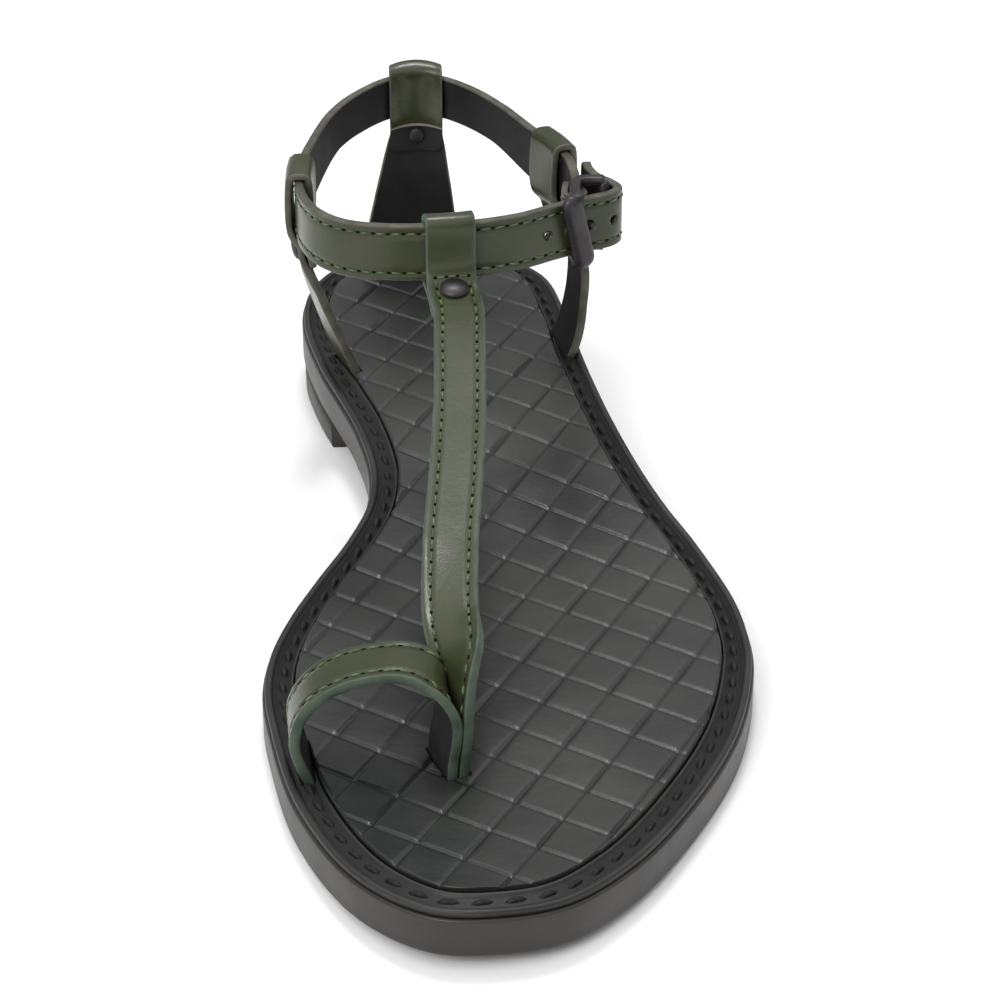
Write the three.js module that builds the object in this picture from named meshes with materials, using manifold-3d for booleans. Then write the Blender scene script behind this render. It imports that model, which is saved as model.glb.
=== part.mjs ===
import * as THREE from 'three';
import { mergeVertices } from 'three/addons/utils/BufferGeometryUtils.js';
import Module from 'manifold-3d';

// Left T-strap sandal with a toe strap. Millimetres, +Z up, toes towards -Y, the outer side of the foot
// towards +X, the floor at z = 0 under the middle of the sole.

// Driving dimensions of the sole
const soleLength = 250;
const ballWidth = 92;
const heelWidth = 60;
const soleThickness = 7.5;
const edgeBevel = 0.8;
const toeSpring = 2.5;
const archRise = 6.6;
const heelPitch = 2.4;
const heelInset = 0.4;
const weltWidth = 6;
const weltLip = 1.8;
const weltThickness = 1.2;
const channelDepth = 0.5;
const footbedThickness = 2.4;
const weaveDepth = 0.5;
const weavePitch = 9.5;
const weaveTurn = -38.5;
const weaveSkew = 97.9;
const weaveStretch = 1.03;
const crownEnd = 0.12;
const crownSide = 0.05;

// Driving dimensions of the straps
const strapWidth = 12;
const teeWidth = 10.2;
const toeWidth = 11.2;
const strapThickness = 1.9;
const loopThickness = 1.4;
const edgeRound = 0.35;
const ankleHeight = 52.3;
const ankleWidth = 58;
const ankleLength = 86;
const ankleBackWidth = 9.6;
const flapLength = 8;
const counterWidth = 24;
const thongTurn = 17;

// Driving dimensions of the hard pieces
const rivetHead = 5.8;
const rivetCap = 3.6;
const rivetShank = 2.2;
const rivetDome = 1.2;
const rivetDrop = 4.6;
const buckleBar = 4.7;
const buckleBarDepth = 2.8;
const buckleTilt = 14;
const buckleRail = 1.8;
const hingeBar = 1.6;
const endBar = 2.4;
const prongWidth = 1.6;
const holeSize = 2;
const holePitch = 5.3;

// The gap kept between pieces that touch
const gap = 0.3;

const sideSteps = 38;
const up = new THREE.Vector3(0, 0, 1);
const wasm = await Module();
wasm.setup();

// Heights along the sole, as shares of its length: the forefoot lies flat between the toe bend and the arch
const toeBend = -0.3;
const archStart = -0.1;
const heelBreast = 0.238;

function ease(t) {
  const s = THREE.MathUtils.clamp(t, 0, 1);
  return s * s * (3 - 2 * s);
}

function underside(y) {
  const share = y / soleLength;
  const arch = archRise * ease((share - archStart) / (heelBreast - archStart));
  const pitch = heelPitch * THREE.MathUtils.clamp((share - heelBreast) / (0.5 - heelBreast), 0, 1);
  const toe = THREE.MathUtils.clamp((toeBend - share) / (0.5 + toeBend), 0, 1);
  return arch + pitch + toeSpring * toe * toe;
}

const soleTop = (y) => underside(y) + soleThickness;
const footbedTop = (y) => soleTop(y) + gap + footbedThickness;

// Edge of the sole: along is a share of its length, across a share of its width at that place
const outerEdge = [
  { along: -0.500, across: -0.087 },
  { along: -0.490, across: 0.032 },
  { along: -0.449, across: 0.162 },
  { along: -0.372, across: 0.308 },
  { along: -0.286, across: 0.427 },
  { along: -0.200, across: 0.491 },
  { along: -0.152, across: 0.501 },
  { along: -0.097, across: 0.491 },
  { along: -0.022, across: 0.459 },
  { along: 0.032, across: 0.442 },
  { along: 0.094, across: 0.442 },
  { along: 0.176, across: 0.456 },
  { along: 0.267, across: 0.440 },
  { along: 0.358, across: 0.410 },
  { along: 0.432, across: 0.360 },
  { along: 0.468, across: 0.258 },
  { along: 0.492, across: 0.108 },
  { along: 0.500, across: -0.092 },
];
const innerEdge = [
  { along: 0.500, across: -0.092 },
  { along: 0.490, across: -0.308 },
  { along: 0.458, across: -0.483 },
  { along: 0.412, across: -0.572 },
  { along: 0.355, across: -0.592 },
  { along: 0.279, across: -0.548 },
  { along: 0.216, across: -0.481 },
  { along: 0.160, across: -0.394 },
  { along: 0.096, across: -0.318 },
  { along: 0.049, across: -0.305 },
  { along: 0.002, across: -0.333 },
  { along: -0.052, across: -0.388 },
  { along: -0.102, across: -0.442 },
  { along: -0.157, across: -0.486 },
  { along: -0.204, across: -0.500 },
  { along: -0.256, across: -0.490 },
  { along: -0.359, across: -0.440 },
  { along: -0.451, across: -0.333 },
  { along: -0.494, across: -0.209 },
];

function widthAt(along) {
  return THREE.MathUtils.lerp(ballWidth, heelWidth, ease((along + 0.08) / 0.32));
}

const edgeRows = [...outerEdge, ...innerEdge.slice(1)];
const edgeCurve = new THREE.CatmullRomCurve3(
  edgeRows.map((row) => new THREE.Vector3(row.across * widthAt(row.along), row.along * soleLength, 0)),
  true,
  'centripetal',
);
const heelTipShare = (outerEdge.length - 1) / edgeRows.length;

// A point of the sole's edge moved inwards; share runs once round, toe to heel along the outer side first
function edgePoint(share, inset) {
  const point = edgeCurve.getPoint(share % 1);
  const inward = new THREE.Vector3().crossVectors(up, edgeCurve.getTangent(share % 1));
  return point.addScaledVector(inward, inset);
}

// The edge share where one side of the sole passes a given y
function shareAt(side, y) {
  let low = side === 'outer' ? 0 : heelTipShare;
  let high = side === 'outer' ? heelTipShare : 1;
  for (let step = 0; step < 40; step += 1) {
    const middle = (low + high) / 2;
    const before = edgeCurve.getPoint(middle).y < y;
    if (before === (side === 'outer')) {
      low = middle;
    } else {
      high = middle;
    }
  }
  return (low + high) / 2;
}

// Points along one side from startY to the tip of the heel, evenly spaced
function sideLine(side, inset, startY, steps) {
  const atTip = startY <= -soleLength / 2;
  const tipShare = side === 'outer' ? 0 : 1;
  const first = atTip ? tipShare : shareAt(side, startY);
  const fine = [];
  const fineSteps = 400;
  for (let i = 0; i <= fineSteps; i += 1) {
    fine.push(edgePoint(THREE.MathUtils.lerp(first, heelTipShare, i / fineSteps) + 1, inset));
  }
  const lengths = [0];
  for (let i = 1; i <= fineSteps; i += 1) {
    lengths.push(lengths[i - 1] + fine[i].distanceTo(fine[i - 1]));
  }
  const points = [];
  let at = 0;
  for (let k = 0; k <= steps; k += 1) {
    const target = (lengths[fineSteps] * k) / steps;
    while (at < fineSteps - 1 && lengths[at + 1] < target) {
      at += 1;
    }
    const part = (target - lengths[at]) / (lengths[at + 1] - lengths[at]);
    points.push(fine[at].clone().lerp(fine[at + 1], part));
  }
  return points;
}

// A closed loop round the sole at one inset, each point lifted to height(y)
function soleLoop(inset, height) {
  const toe = -soleLength / 2;
  const outer = sideLine('outer', inset, toe, sideSteps);
  const inner = sideLine('inner', inset, toe, sideSteps);
  const loop = [...outer, ...inner.slice(1, -1).reverse()];
  return loop.map((p) => new THREE.Vector3(p.x, p.y, height(p.y)));
}

// Triangles between loops of equal length, each loop above or outside the one before it
class Skin {
  constructor() {
    this.points = [];
    this.triangles = [];
  }

  add(loop) {
    const start = this.points.length;
    this.points.push(...loop);
    return start;
  }

  wall(a, b, count) {
    for (let i = 0; i < count; i += 1) {
      const next = (i + 1) % count;
      this.triangles.push([a + i, a + next, b + next], [a + i, b + next, b + i]);
    }
  }

  // Closes a loop with strips between its two sides: right and left list the points in pairs
  cover(right, left, turned) {
    for (let k = 0; k + 1 < right.length; k += 1) {
      const quad = [left[k], right[k], right[k + 1], left[k + 1]];
      const faces = [[quad[0], quad[1], quad[2]], [quad[0], quad[2], quad[3]]];
      for (const face of faces) {
        if (new Set(face).size === 3) {
          this.triangles.push(turned ? face.reverse() : face);
        }
      }
    }
  }

  geometry() {
    const geometry = new THREE.BufferGeometry();
    const flat = this.points.flatMap((p) => [p.x, p.y, p.z]);
    geometry.setAttribute('position', new THREE.Float32BufferAttribute(flat, 3));
    geometry.setIndex(this.triangles.flat());
    return geometry;
  }
}

// The pairs of loop points that face each other across the sole
function solePairs(start) {
  const right = [];
  const left = [];
  for (let k = 0; k <= sideSteps; k += 1) {
    right.push(start + k);
    left.push(start + ((2 * sideSteps - k) % (2 * sideSteps)));
  }
  return { right, left };
}

function soleSlab(levels) {
  const skin = new Skin();
  const starts = levels.map((level) => skin.add(soleLoop(level.inset, level.height)));
  for (let i = 1; i < starts.length; i += 1) {
    skin.wall(starts[i - 1], starts[i], 2 * sideSteps);
  }
  const low = solePairs(starts[0]);
  const high = solePairs(starts[starts.length - 1]);
  skin.cover(low.right, low.left, true);
  skin.cover(high.right, high.left, false);
  return skin.geometry();
}

// Solids and meshes
function toSolid(geometry) {
  const bare = geometry.clone();
  bare.deleteAttribute('normal');
  bare.deleteAttribute('uv');
  const merged = mergeVertices(bare, 1e-4);
  const index = merged.index.array;
  const kept = [];
  for (let i = 0; i < index.length; i += 3) {
    const [a, b, c] = [index[i], index[i + 1], index[i + 2]];
    if (a !== b && b !== c && a !== c) {
      kept.push(a, b, c);
    }
  }
  return new wasm.Manifold(new wasm.Mesh({
    numProp: 3,
    vertProperties: new Float32Array(merged.attributes.position.array),
    triVerts: new Uint32Array(kept),
  }));
}

function toGeometry(solid) {
  const mesh = solid.getMesh();
  const geometry = new THREE.BufferGeometry();
  geometry.setAttribute('position', new THREE.BufferAttribute(new Float32Array(mesh.vertProperties), 3));
  geometry.setIndex(new THREE.BufferAttribute(new Uint32Array(mesh.triVerts), 1));
  return geometry;
}

function cutBy(geometry, cutters) {
  let solid = toSolid(geometry);
  for (const cutter of cutters) {
    solid = solid.subtract(toSolid(cutter));
  }
  return toGeometry(solid);
}

function joined(pieces) {
  const [first, ...others] = pieces.map(toSolid);
  return toGeometry(others.reduce((sum, piece) => sum.add(piece), first));
}

// A round bar or punch along one line
function rod(from, to, radius, sides = 12) {
  const length = from.distanceTo(to);
  const geometry = new THREE.CylinderGeometry(radius, radius, length, sides);
  const direction = to.clone().sub(from).normalize();
  geometry.applyQuaternion(new THREE.Quaternion().setFromUnitVectors(new THREE.Vector3(0, 1, 0), direction));
  const middle = from.clone().lerp(to, 0.5);
  geometry.translate(middle.x, middle.y, middle.z);
  return geometry;
}

// A strap: a flat section with eased corners swept through rows. Each row has the centre at, the way
// its outer face looks, its width and thick, and cup, how far its middle stands out from its edges.
function strapCurve(rows) {
  return new THREE.CatmullRomCurve3(rows.map((row) => row.at), false, 'centripetal');
}

function strapPlace(rows, curve, position) {
  const share = position / (rows.length - 1);
  const low = Math.min(Math.floor(position), rows.length - 2);
  const part = position - low;
  const a = rows[low];
  const b = rows[low + 1];
  const tangent = curve.getTangent(share);
  const face = a.face.clone().lerp(b.face, part);
  face.addScaledVector(tangent, -face.dot(tangent)).normalize();
  const mix = (key, normal) => THREE.MathUtils.lerp(a[key] ?? normal, b[key] ?? normal, part);
  return {
    at: curve.getPoint(share),
    face,
    tangent,
    side: new THREE.Vector3().crossVectors(face, tangent),
    width: mix('width', strapWidth),
    thick: mix('thick', strapThickness),
    cup: mix('cup', 0),
  };
}

function strap(rows, { detail = 2, grow = 0, columns = 2 } = {}) {
  const curve = strapCurve(rows);
  const skin = new Skin();
  const starts = [];
  const steps = (rows.length - 1) * detail;
  for (let step = 0; step <= steps; step += 1) {
    const place = strapPlace(rows, curve, step / detail);
    const half = place.width / 2 + grow;
    const depth = place.thick / 2 + grow;
    const offsets = [{ side: -half, depth: depth - edgeRound }];
    for (let column = 0; column < columns; column += 1) {
      const inner = half - edgeRound;
      offsets.push({ side: THREE.MathUtils.lerp(-inner, inner, column / (columns - 1)), depth });
    }
    offsets.push({ side: half, depth: depth - edgeRound });
    const at = (offset, sign) => {
      const crown = place.cup * (1 - (offset.side / half) ** 2);
      return place.at.clone()
        .addScaledVector(place.side, offset.side)
        .addScaledVector(place.face, sign * offset.depth + crown);
    };
    const lining = offsets.map((offset) => at(offset, -1));
    const outside = offsets.map((offset) => at(offset, 1)).reverse();
    starts.push(skin.add([...lining, ...outside]));
  }
  const count = 2 * (columns + 2);
  for (let i = 1; i < starts.length; i += 1) {
    skin.wall(starts[i - 1], starts[i], count);
  }
  const pairs = (start) => {
    const lining = [];
    const outside = [];
    for (let k = 0; k < columns + 2; k += 1) {
      lining.push(start + k);
      outside.push(start + count - 1 - k);
    }
    return { lining, outside };
  };
  const first = pairs(starts[0]);
  const last = pairs(starts[starts.length - 1]);
  skin.cover(first.lining, first.outside, true);
  skin.cover(last.lining, last.outside, false);
  return skin.geometry();
}

// The ankle strap in plan: across and along are shares of its loop's width and length, from the loop's
// middle and its front. It starts at the flap folded round the hinge bar and ends at the free tip.
const ankleTable = [
  { across: 0.452, along: 0.228, folded: true },
  { across: 0.443, along: 0.196, folded: true },
  { across: 0.441, along: 0.160, folded: true },
  { across: 0.473, along: 0.138, folded: true },
  { across: 0.506, along: 0.160, folded: true },
  { across: 0.500, along: 0.198, folded: true },
  { across: 0.492, along: 0.245 },
  { across: 0.491, along: 0.309 },
  { across: 0.483, along: 0.391 },
  { across: 0.450, along: 0.478 },
  { across: 0.383, along: 0.583 },
  { across: 0.271, along: 0.774 },
  { across: 0.167, along: 0.902 },
  { across: 0.069, along: 0.974 },
  { across: -0.024, along: 0.998 },
  { across: -0.121, along: 0.977 },
  { across: -0.229, along: 0.902 },
  { across: -0.348, along: 0.762 },
  { across: -0.457, along: 0.507 },
  { across: -0.495, along: 0.356 },
  { across: -0.491, along: 0.215 },
  { across: -0.440, along: 0.106 },
  { across: -0.347, along: 0.035 },
  { across: -0.200, along: 0.002 },
  { across: 0.029, along: 0.000 },
  { across: 0.250, along: 0.036 },
  { across: 0.388, along: 0.088 },
  { across: 0.459, along: 0.114 },
  { across: 0.529, along: 0.136 },
  { across: 0.598, along: 0.157 },
  { across: 0.631, along: 0.188 },
  { across: 0.612, along: 0.227 },
  { across: 0.572, along: 0.265 },
  { across: 0.549, along: 0.312 },
  { across: 0.544, along: 0.370 },
];

const ankleMiddle = -0.07 * ballWidth;
const ankleBack = soleLength / 2 - weltWidth - strapThickness / 2 - gap;
const ankleFront = ankleBack - ankleLength;
const ankleTop = ankleHeight + strapWidth;

function anklePlan(row, height) {
  return new THREE.Vector3(
    ankleMiddle + row.across * ankleWidth,
    ankleFront + row.along * ankleLength,
    height,
  );
}

// The lower edge of the ankle strap, which rises towards the heel, where the strap is narrower
function ankleLow(along) {
  const back = THREE.MathUtils.smoothstep(along, 0.5, 0.74);
  return ankleTop - THREE.MathUtils.lerp(strapWidth, ankleBackWidth, back);
}

const ankleCentres = ankleTable.map((row) => anklePlan(row, (ankleHeight + ankleTop) / 2));
const anklePath = new THREE.CatmullRomCurve3(ankleCentres, false, 'centripetal');
const ankleRows = ankleTable.map((row, i) => {
  const tangent = anklePath.getTangent(i / (ankleTable.length - 1));
  const low = ankleLow(row.along);
  return {
    at: anklePlan(row, (low + ankleTop) / 2),
    width: ankleTop - low,
    face: new THREE.Vector3().crossVectors(tangent, up),
    thick: row.folded ? loopThickness : strapThickness,
  };
});

// A place on the ankle strap by row number, with the level way out of its loop, how far it stands
// out there from the chord under one strap's width and the height of its lower edge
function ankleAt(position) {
  const share = position / (ankleTable.length - 1);
  const at = anklePath.getPoint(share);
  const out = new THREE.Vector3().crossVectors(anklePath.getTangent(share), up).normalize();
  const sides = [-1, 1].map((sign) => {
    let step = 0;
    while (anklePath.getPoint(share + sign * step).distanceTo(at) < strapWidth / 2) {
      step += 0.0005;
    }
    return anklePath.getPoint(share + sign * step);
  });
  const chord = sides[0].lerp(sides[1], 0.5);
  const low = ankleLow((at.y - ankleFront) / ankleLength);
  return { at, out, sag: at.clone().sub(chord).dot(out), low };
}

// Row numbers where the other straps and the prong meet the ankle strap
const outerLoopRow = 9;
const heelLoopRow = 14;
const innerLoopRow = 19.1;
const frontLoopRow = 23.92;
const prongRow = 27.85;

// A loop is one layer of leather round the ankle strap. Beside the strap, loopOffset lies between their
// middles; above its edge, loopRise does. Each has a little more than the gap, for the curve.
const loopRoom = gap * 1.4;
const loopOffset = (strapThickness + loopThickness) / 2 + loopRoom;
const loopRise = loopThickness / 2 + loopRoom;

// The turn over the ankle strap: out is a share of loopOffset, rise of the height above its edge
const loopRoof = [
  { out: 0.8, rise: 0.75, look: [0.77, 0.64] },
  { out: 0, rise: 1, look: [0, 1] },
  { out: -0.8, rise: 0.75, look: [-0.77, 0.64] },
];

// One row of a loop: out is measured from the ankle strap's middle, height from the floor
function loopRow(ring, out, height, look, extra = {}) {
  const at = new THREE.Vector3(ring.at.x, ring.at.y, height).addScaledVector(ring.out, out - ring.sag);
  const face = ring.out.clone().multiplyScalar(look[0]).addScaledVector(up, look[1]).normalize();
  return { at, face, cup: ring.sag * face.dot(ring.out), thick: loopThickness, ...extra };
}

// The turn over the top of the ankle strap and down inside it, from start above its lower edge
function loopTurn(ring, { start = gap, rise = loopRise, width = strapWidth } = {}) {
  const rows = [
    loopRow(ring, loopOffset, ring.low + start, [1, 0], { width }),
    loopRow(ring, loopOffset, ankleTop - edgeRound, [1, 0], { width }),
  ];
  for (const row of loopRoof) {
    rows.push(loopRow(ring, loopOffset * row.out, ankleTop + rise * row.rise, row.look, { width }));
  }
  rows.push(loopRow(ring, -loopOffset, ankleTop - edgeRound, [-1, 0], { width }));
  rows.push(loopRow(ring, -loopOffset, ring.low + gap, [-1, 0], { width }));
  return rows;
}

// From the middle between the two layers under the ankle strap to the middle of each
const layerOffset = (loopThickness + gap) / 2;

// A strap that rises from the sole, leans by lean below the ankle strap, turns over it and ends in a
// flap inside; a rivet holds the two layers together. climb holds the rows between sole and rivet: up
// is a share of the height, out a bulge in strap widths.
function sideStrap({ row, base, lean, climb, width, cup, rise }) {
  const ring = ankleAt(row);
  const layer = (sign, drop) => loopRow(
    ring,
    sign * layerOffset - lean * drop,
    ring.low - drop,
    [sign, 0],
  );
  const neck = layer(1, rivetDrop);
  const rows = [{ at: base.at, face: base.face, width: width(0), cup: cup(0) }];
  for (const step of climb) {
    rows.push({
      at: base.at.clone().lerp(neck.at, step.up).addScaledVector(ring.out, step.out * strapWidth),
      face: step.face ?? ring.out,
      width: width(step.up),
      cup: cup(step.up),
    });
  }
  const pinch = rivetDrop - rivetHead / 3;
  rows.push(neck, layer(1, pinch), ...loopTurn(ring, { rise }));
  rows.push(layer(-1, pinch), layer(-1, rivetDrop), layer(-1, flapLength));
  return {
    rows,
    rivet: {
      at: neck.at.clone().addScaledVector(ring.out, ring.sag),
      out: ring.out.clone().addScaledVector(up, -lean).normalize(),
      front: loopThickness / 2,
      back: loopThickness * 1.5 + gap,
    },
  };
}

const strapFoot = (y) => soleTop(y) - strapThickness;

// The way sideways from the foot, turned towards the heel by an angle in degrees
function sideways(sign, turn) {
  const angle = THREE.MathUtils.degToRad(turn);
  return new THREE.Vector3(sign * Math.cos(angle), Math.sin(angle), 0);
}

// Where a strap goes down into the sole at one inset from its edge, and the way its outer face looks
function seam(side, along, inset, face) {
  const share = shareAt(side, along * soleLength);
  const point = edgePoint(share, inset);
  return { at: new THREE.Vector3(point.x, point.y, strapFoot(point.y)), face };
}

const innerStrap = sideStrap({
  row: innerLoopRow,
  base: seam('inner', 0.269, weltWidth + strapThickness, sideways(-1, -20)),
  lean: 0.2,
  climb: [
    { up: 0.35, out: 0.05, face: sideways(-1, -19) },
    { up: 0.75, out: 0.07, face: sideways(-1, -15) },
  ],
  width: () => strapWidth,
  cup: () => 0,
});

const outerStrap = sideStrap({
  row: outerLoopRow,
  base: seam('outer', 0.296, weltWidth, sideways(1, 20)),
  lean: -0.35,
  climb: [
    { up: 0.17, out: 0.26, face: sideways(1, 14) },
    { up: 0.43, out: 0.38, face: sideways(1, 9) },
    { up: 0.72, out: 0.34, face: sideways(1, 9) },
  ],
  width: () => strapWidth,
  cup: () => 0,
});

const counterCup = 3;
const counterFoot = soleLength / 2 - weltWidth - counterCup;
const counterMiddle = -0.105 * ballWidth;
const heelCounter = sideStrap({
  row: heelLoopRow,
  base: {
    at: new THREE.Vector3(counterMiddle, counterFoot, strapFoot(counterFoot)),
    face: ankleAt(heelLoopRow).out,
  },
  rise: loopRise * 1.7,
  lean: 0.05,
  climb: [
    { up: 0.35, out: 0.02 },
    { up: 0.75, out: 0.01 },
  ],
  width: (share) => THREE.MathUtils.lerp(counterWidth, strapWidth, Math.min(1, share) ** 1.3),
  cup: (share) => counterCup * (1 - share),
});

// The thong between the toes: the ends of the T-strap and the toe strap, outer face to outer face
const thongTable = [
  { across: -0.151, along: -0.318, up: 0 },
  { across: -0.146, along: -0.318, up: 0.16 },
  { across: -0.138, along: -0.317, up: 0.31 },
];
const thongFace = new THREE.Vector3(
  Math.cos(THREE.MathUtils.degToRad(thongTurn)),
  Math.sin(THREE.MathUtils.degToRad(thongTurn)),
  0,
);

function thongRow(row, side) {
  const y = row.along * soleLength;
  const low = strapFoot(y);
  const at = new THREE.Vector3(row.across * ballWidth, y, low + row.up * (ankleHeight - low));
  at.addScaledVector(thongFace, (side * (strapThickness + gap)) / 2);
  return { at, face: thongFace.clone().multiplyScalar(-side), width: teeWidth };
}

// Free runs of the straps over the foot: across is a share of the ball's width, along of the sole's
// length, up of the height from the footbed to the ankle strap; look is the way the outer face looks
const teeTable = [
  { across: -0.124, along: -0.297, up: 0.430, look: [-0.62, -0.05, 0.78] },
  { across: -0.131, along: -0.257, up: 0.492, look: [-0.2, -0.2, 0.96] },
  { across: -0.118, along: -0.187, up: 0.594, look: [0, -0.23, 0.97] },
  { across: -0.093, along: -0.112, up: 0.698, look: [0, -0.23, 0.97] },
  { across: -0.071, along: -0.034, up: 0.802, look: [0, -0.23, 0.97] },
  { across: -0.0585, along: 0.032, up: 0.889, look: [0, -0.23, 0.97] },
];
const toeTable = [
  { across: -0.439, along: -0.306, up: 0.140, look: [-0.98, 0, 0.2] },
  { across: -0.428, along: -0.303, up: 0.247, look: [-0.8, 0, 0.6] },
  { across: -0.389, along: -0.301, up: 0.342, look: [-0.55, 0, 0.83] },
  { across: -0.337, along: -0.301, up: 0.404, look: [-0.3, 0, 0.95] },
  { across: -0.277, along: -0.302, up: 0.435, look: [-0.1, 0, 0.99] },
  { across: -0.220, along: -0.304, up: 0.437, look: [0.1, -0.05, 0.99] },
  { across: -0.176, along: -0.309, up: 0.397, look: [0.45, -0.1, 0.88] },
];

function freeRow(row, width) {
  const y = row.along * soleLength;
  const low = footbedTop(y);
  return {
    at: new THREE.Vector3(row.across * ballWidth, y, low + row.up * (ankleHeight - low)),
    face: new THREE.Vector3(...row.look).normalize(),
    width,
  };
}

// The T-strap rises from the thong, runs up the instep nearly level to the ankle strap and loops over
// it; its flap lies under it and reaches forwards to the rivet
const teeSlope = 0.25;
const teeBend = loopOffset + strapThickness / 2;
const teeLift = 0.7;
const frontRivetOut = strapWidth * 0.54;
const flapDrop = (strapThickness + loopThickness) / 2 + gap;
const teeHeight = (out) => ankleHeight - gap + teeLift - teeSlope * (out - loopOffset);

function teeRows() {
  const ring = ankleAt(frontLoopRow);
  const flapHeight = (out) => teeHeight(out) - flapDrop;
  const knee = teeBend + strapThickness;
  const flapEnd = teeBend + flapLength;
  const bendHeight = ankleHeight + strapThickness / 2 + teeLift;
  const width = teeWidth;
  const thick = strapThickness;
  return [
    ...thongTable.map((row) => thongRow(row, 1)),
    ...teeTable.map((row) => freeRow(row, teeWidth)),
    loopRow(ring, strapWidth, teeHeight(strapWidth), [teeSlope, 1], { width, thick }),
    loopRow(ring, knee, teeHeight(knee), [teeSlope, 1], { width, thick }),
    loopRow(ring, loopOffset + edgeRound * 2, bendHeight, [1, 0.9], { width }),
    ...loopTurn(ring, { start: strapWidth * 0.3, width }),
    loopRow(ring, -0.8 * loopOffset, ankleHeight - 0.8 * strapThickness, [-1, -0.6], { width }),
    loopRow(ring, 0, flapHeight(0) - teeLift, [-0.4, -1], { width }),
    loopRow(ring, teeBend, flapHeight(teeBend), [-teeSlope, -1], { width }),
    loopRow(ring, flapEnd, flapHeight(flapEnd), [-teeSlope, -1], { width }),
  ];
}

function toeRows() {
  return [
    { ...seam('inner', -0.309, weltWidth, sideways(-1, -5)), width: toeWidth },
    ...toeTable.map((row) => freeRow(row, toeWidth)),
    ...thongTable.map((row) => thongRow(row, -1)).reverse(),
  ];
}

// Buckle on the outer side: plan places in the ankle strap's shares
const bucklePlan = {
  frontBar: { across: 0.474, along: 0.081 },
  hinge: { across: 0.473, along: 0.160 },
  corner: { across: 0.500, along: 0.196 },
  endBar: { across: 0.581, along: 0.196 },
};

function buckleFrame() {
  const railRise = gap + buckleRail / 2;
  const topRail = ankleTop + railRise;
  const lowRail = ankleHeight - railRise;
  const bar = (place, radius) => rod(anklePlan(place, lowRail), anklePlan(place, topRail), radius);
  const rail = (height) => {
    const stops = [bucklePlan.frontBar, bucklePlan.hinge, bucklePlan.corner, bucklePlan.endBar];
    const rows = stops.map((stop) => ({
      at: anklePlan(stop, height),
      face: up,
      width: buckleRail * 1.2,
      thick: buckleRail,
    }));
    return strap(rows, { detail: 3 });
  };
  // The front bar is a flat pill that leans along the ankle strap
  const pill = new THREE.CapsuleGeometry(buckleBar / 2, strapWidth, 3, 12);
  const run = anklePath.getTangent(prongRow / (ankleTable.length - 1));
  pill.scale(1, 1, buckleBarDepth / buckleBar);
  pill.rotateZ(THREE.MathUtils.degToRad(buckleTilt));
  pill.rotateX(Math.PI / 2);
  pill.rotateZ(Math.atan2(run.y, run.x));
  const front = anklePlan(bucklePlan.frontBar, (topRail + lowRail) / 2);
  pill.translate(front.x, front.y, front.z);
  const hinge = bar(bucklePlan.hinge, hingeBar / 2);
  const end = bar(bucklePlan.endBar, endBar / 2);
  return joined([pill, hinge, end, rail(topRail), rail(lowRail)]);
}

// The prong leaves the hinge bar, passes the hole in the ankle strap and rests against the front bar
function prongEnds() {
  const height = (ankleHeight + ankleTop) / 2;
  const hole = ankleAt(prongRow);
  const hinge = anklePlan(bucklePlan.hinge, height);
  const away = hole.at.clone().sub(hinge).normalize();
  const start = hinge.addScaledVector(away, hingeBar / 2 + gap);
  const tip = hole.at.clone().addScaledVector(hole.out, strapThickness / 2 + prongWidth);
  return { start, tip };
}

function ankleHoles() {
  const holes = [];
  const fine = 600;
  const lengths = anklePath.getLengths(fine);
  const rowsTotal = ankleTable.length - 1;
  const lengthAt = (row) => lengths[Math.round((row / rowsTotal) * fine)];
  for (const count of [-2, -1, 1]) {
    const share = (lengthAt(prongRow) + count * holePitch) / lengths[fine];
    const at = anklePath.getPointAt(share);
    const out = new THREE.Vector3().crossVectors(up, anklePath.getTangentAt(share)).normalize();
    const reach = strapThickness;
    const from = at.clone().addScaledVector(out, -reach);
    const to = at.clone().addScaledVector(out, reach);
    holes.push(rod(from, to, holeSize / 2, 8));
  }
  return holes;
}

// A rivet: a domed head outside, a shank through both layers and a flat cap inside
function rivetParts(place) {
  const headBase = place.front + gap * 2;
  const capBase = -place.back - gap * 1.6;
  const head = rivetHead / 2;
  const cap = rivetCap / 2;
  const shank = rivetShank / 2;
  const profile = [
    new THREE.Vector2(0, capBase - rivetDome / 2),
    new THREE.Vector2(cap * 0.9, capBase - rivetDome / 2),
    new THREE.Vector2(cap, capBase),
    new THREE.Vector2(shank, capBase),
    new THREE.Vector2(shank, headBase),
    new THREE.Vector2(head, headBase),
    new THREE.Vector2(head * 0.93, headBase + rivetDome * 0.45),
    new THREE.Vector2(head * 0.55, headBase + rivetDome * 0.88),
    new THREE.Vector2(0, headBase + rivetDome),
  ];
  const turn = new THREE.Quaternion().setFromUnitVectors(new THREE.Vector3(0, 1, 0), place.out);
  const solid = new THREE.LatheGeometry(profile, 12);
  solid.applyQuaternion(turn);
  solid.translate(place.at.x, place.at.y, place.at.z);
  const from = place.at.clone().addScaledVector(place.out, capBase * 1.2);
  const to = place.at.clone().addScaledVector(place.out, headBase * 2);
  return { solid, hole: rod(from, to, shank + gap / 2) };
}

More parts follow.
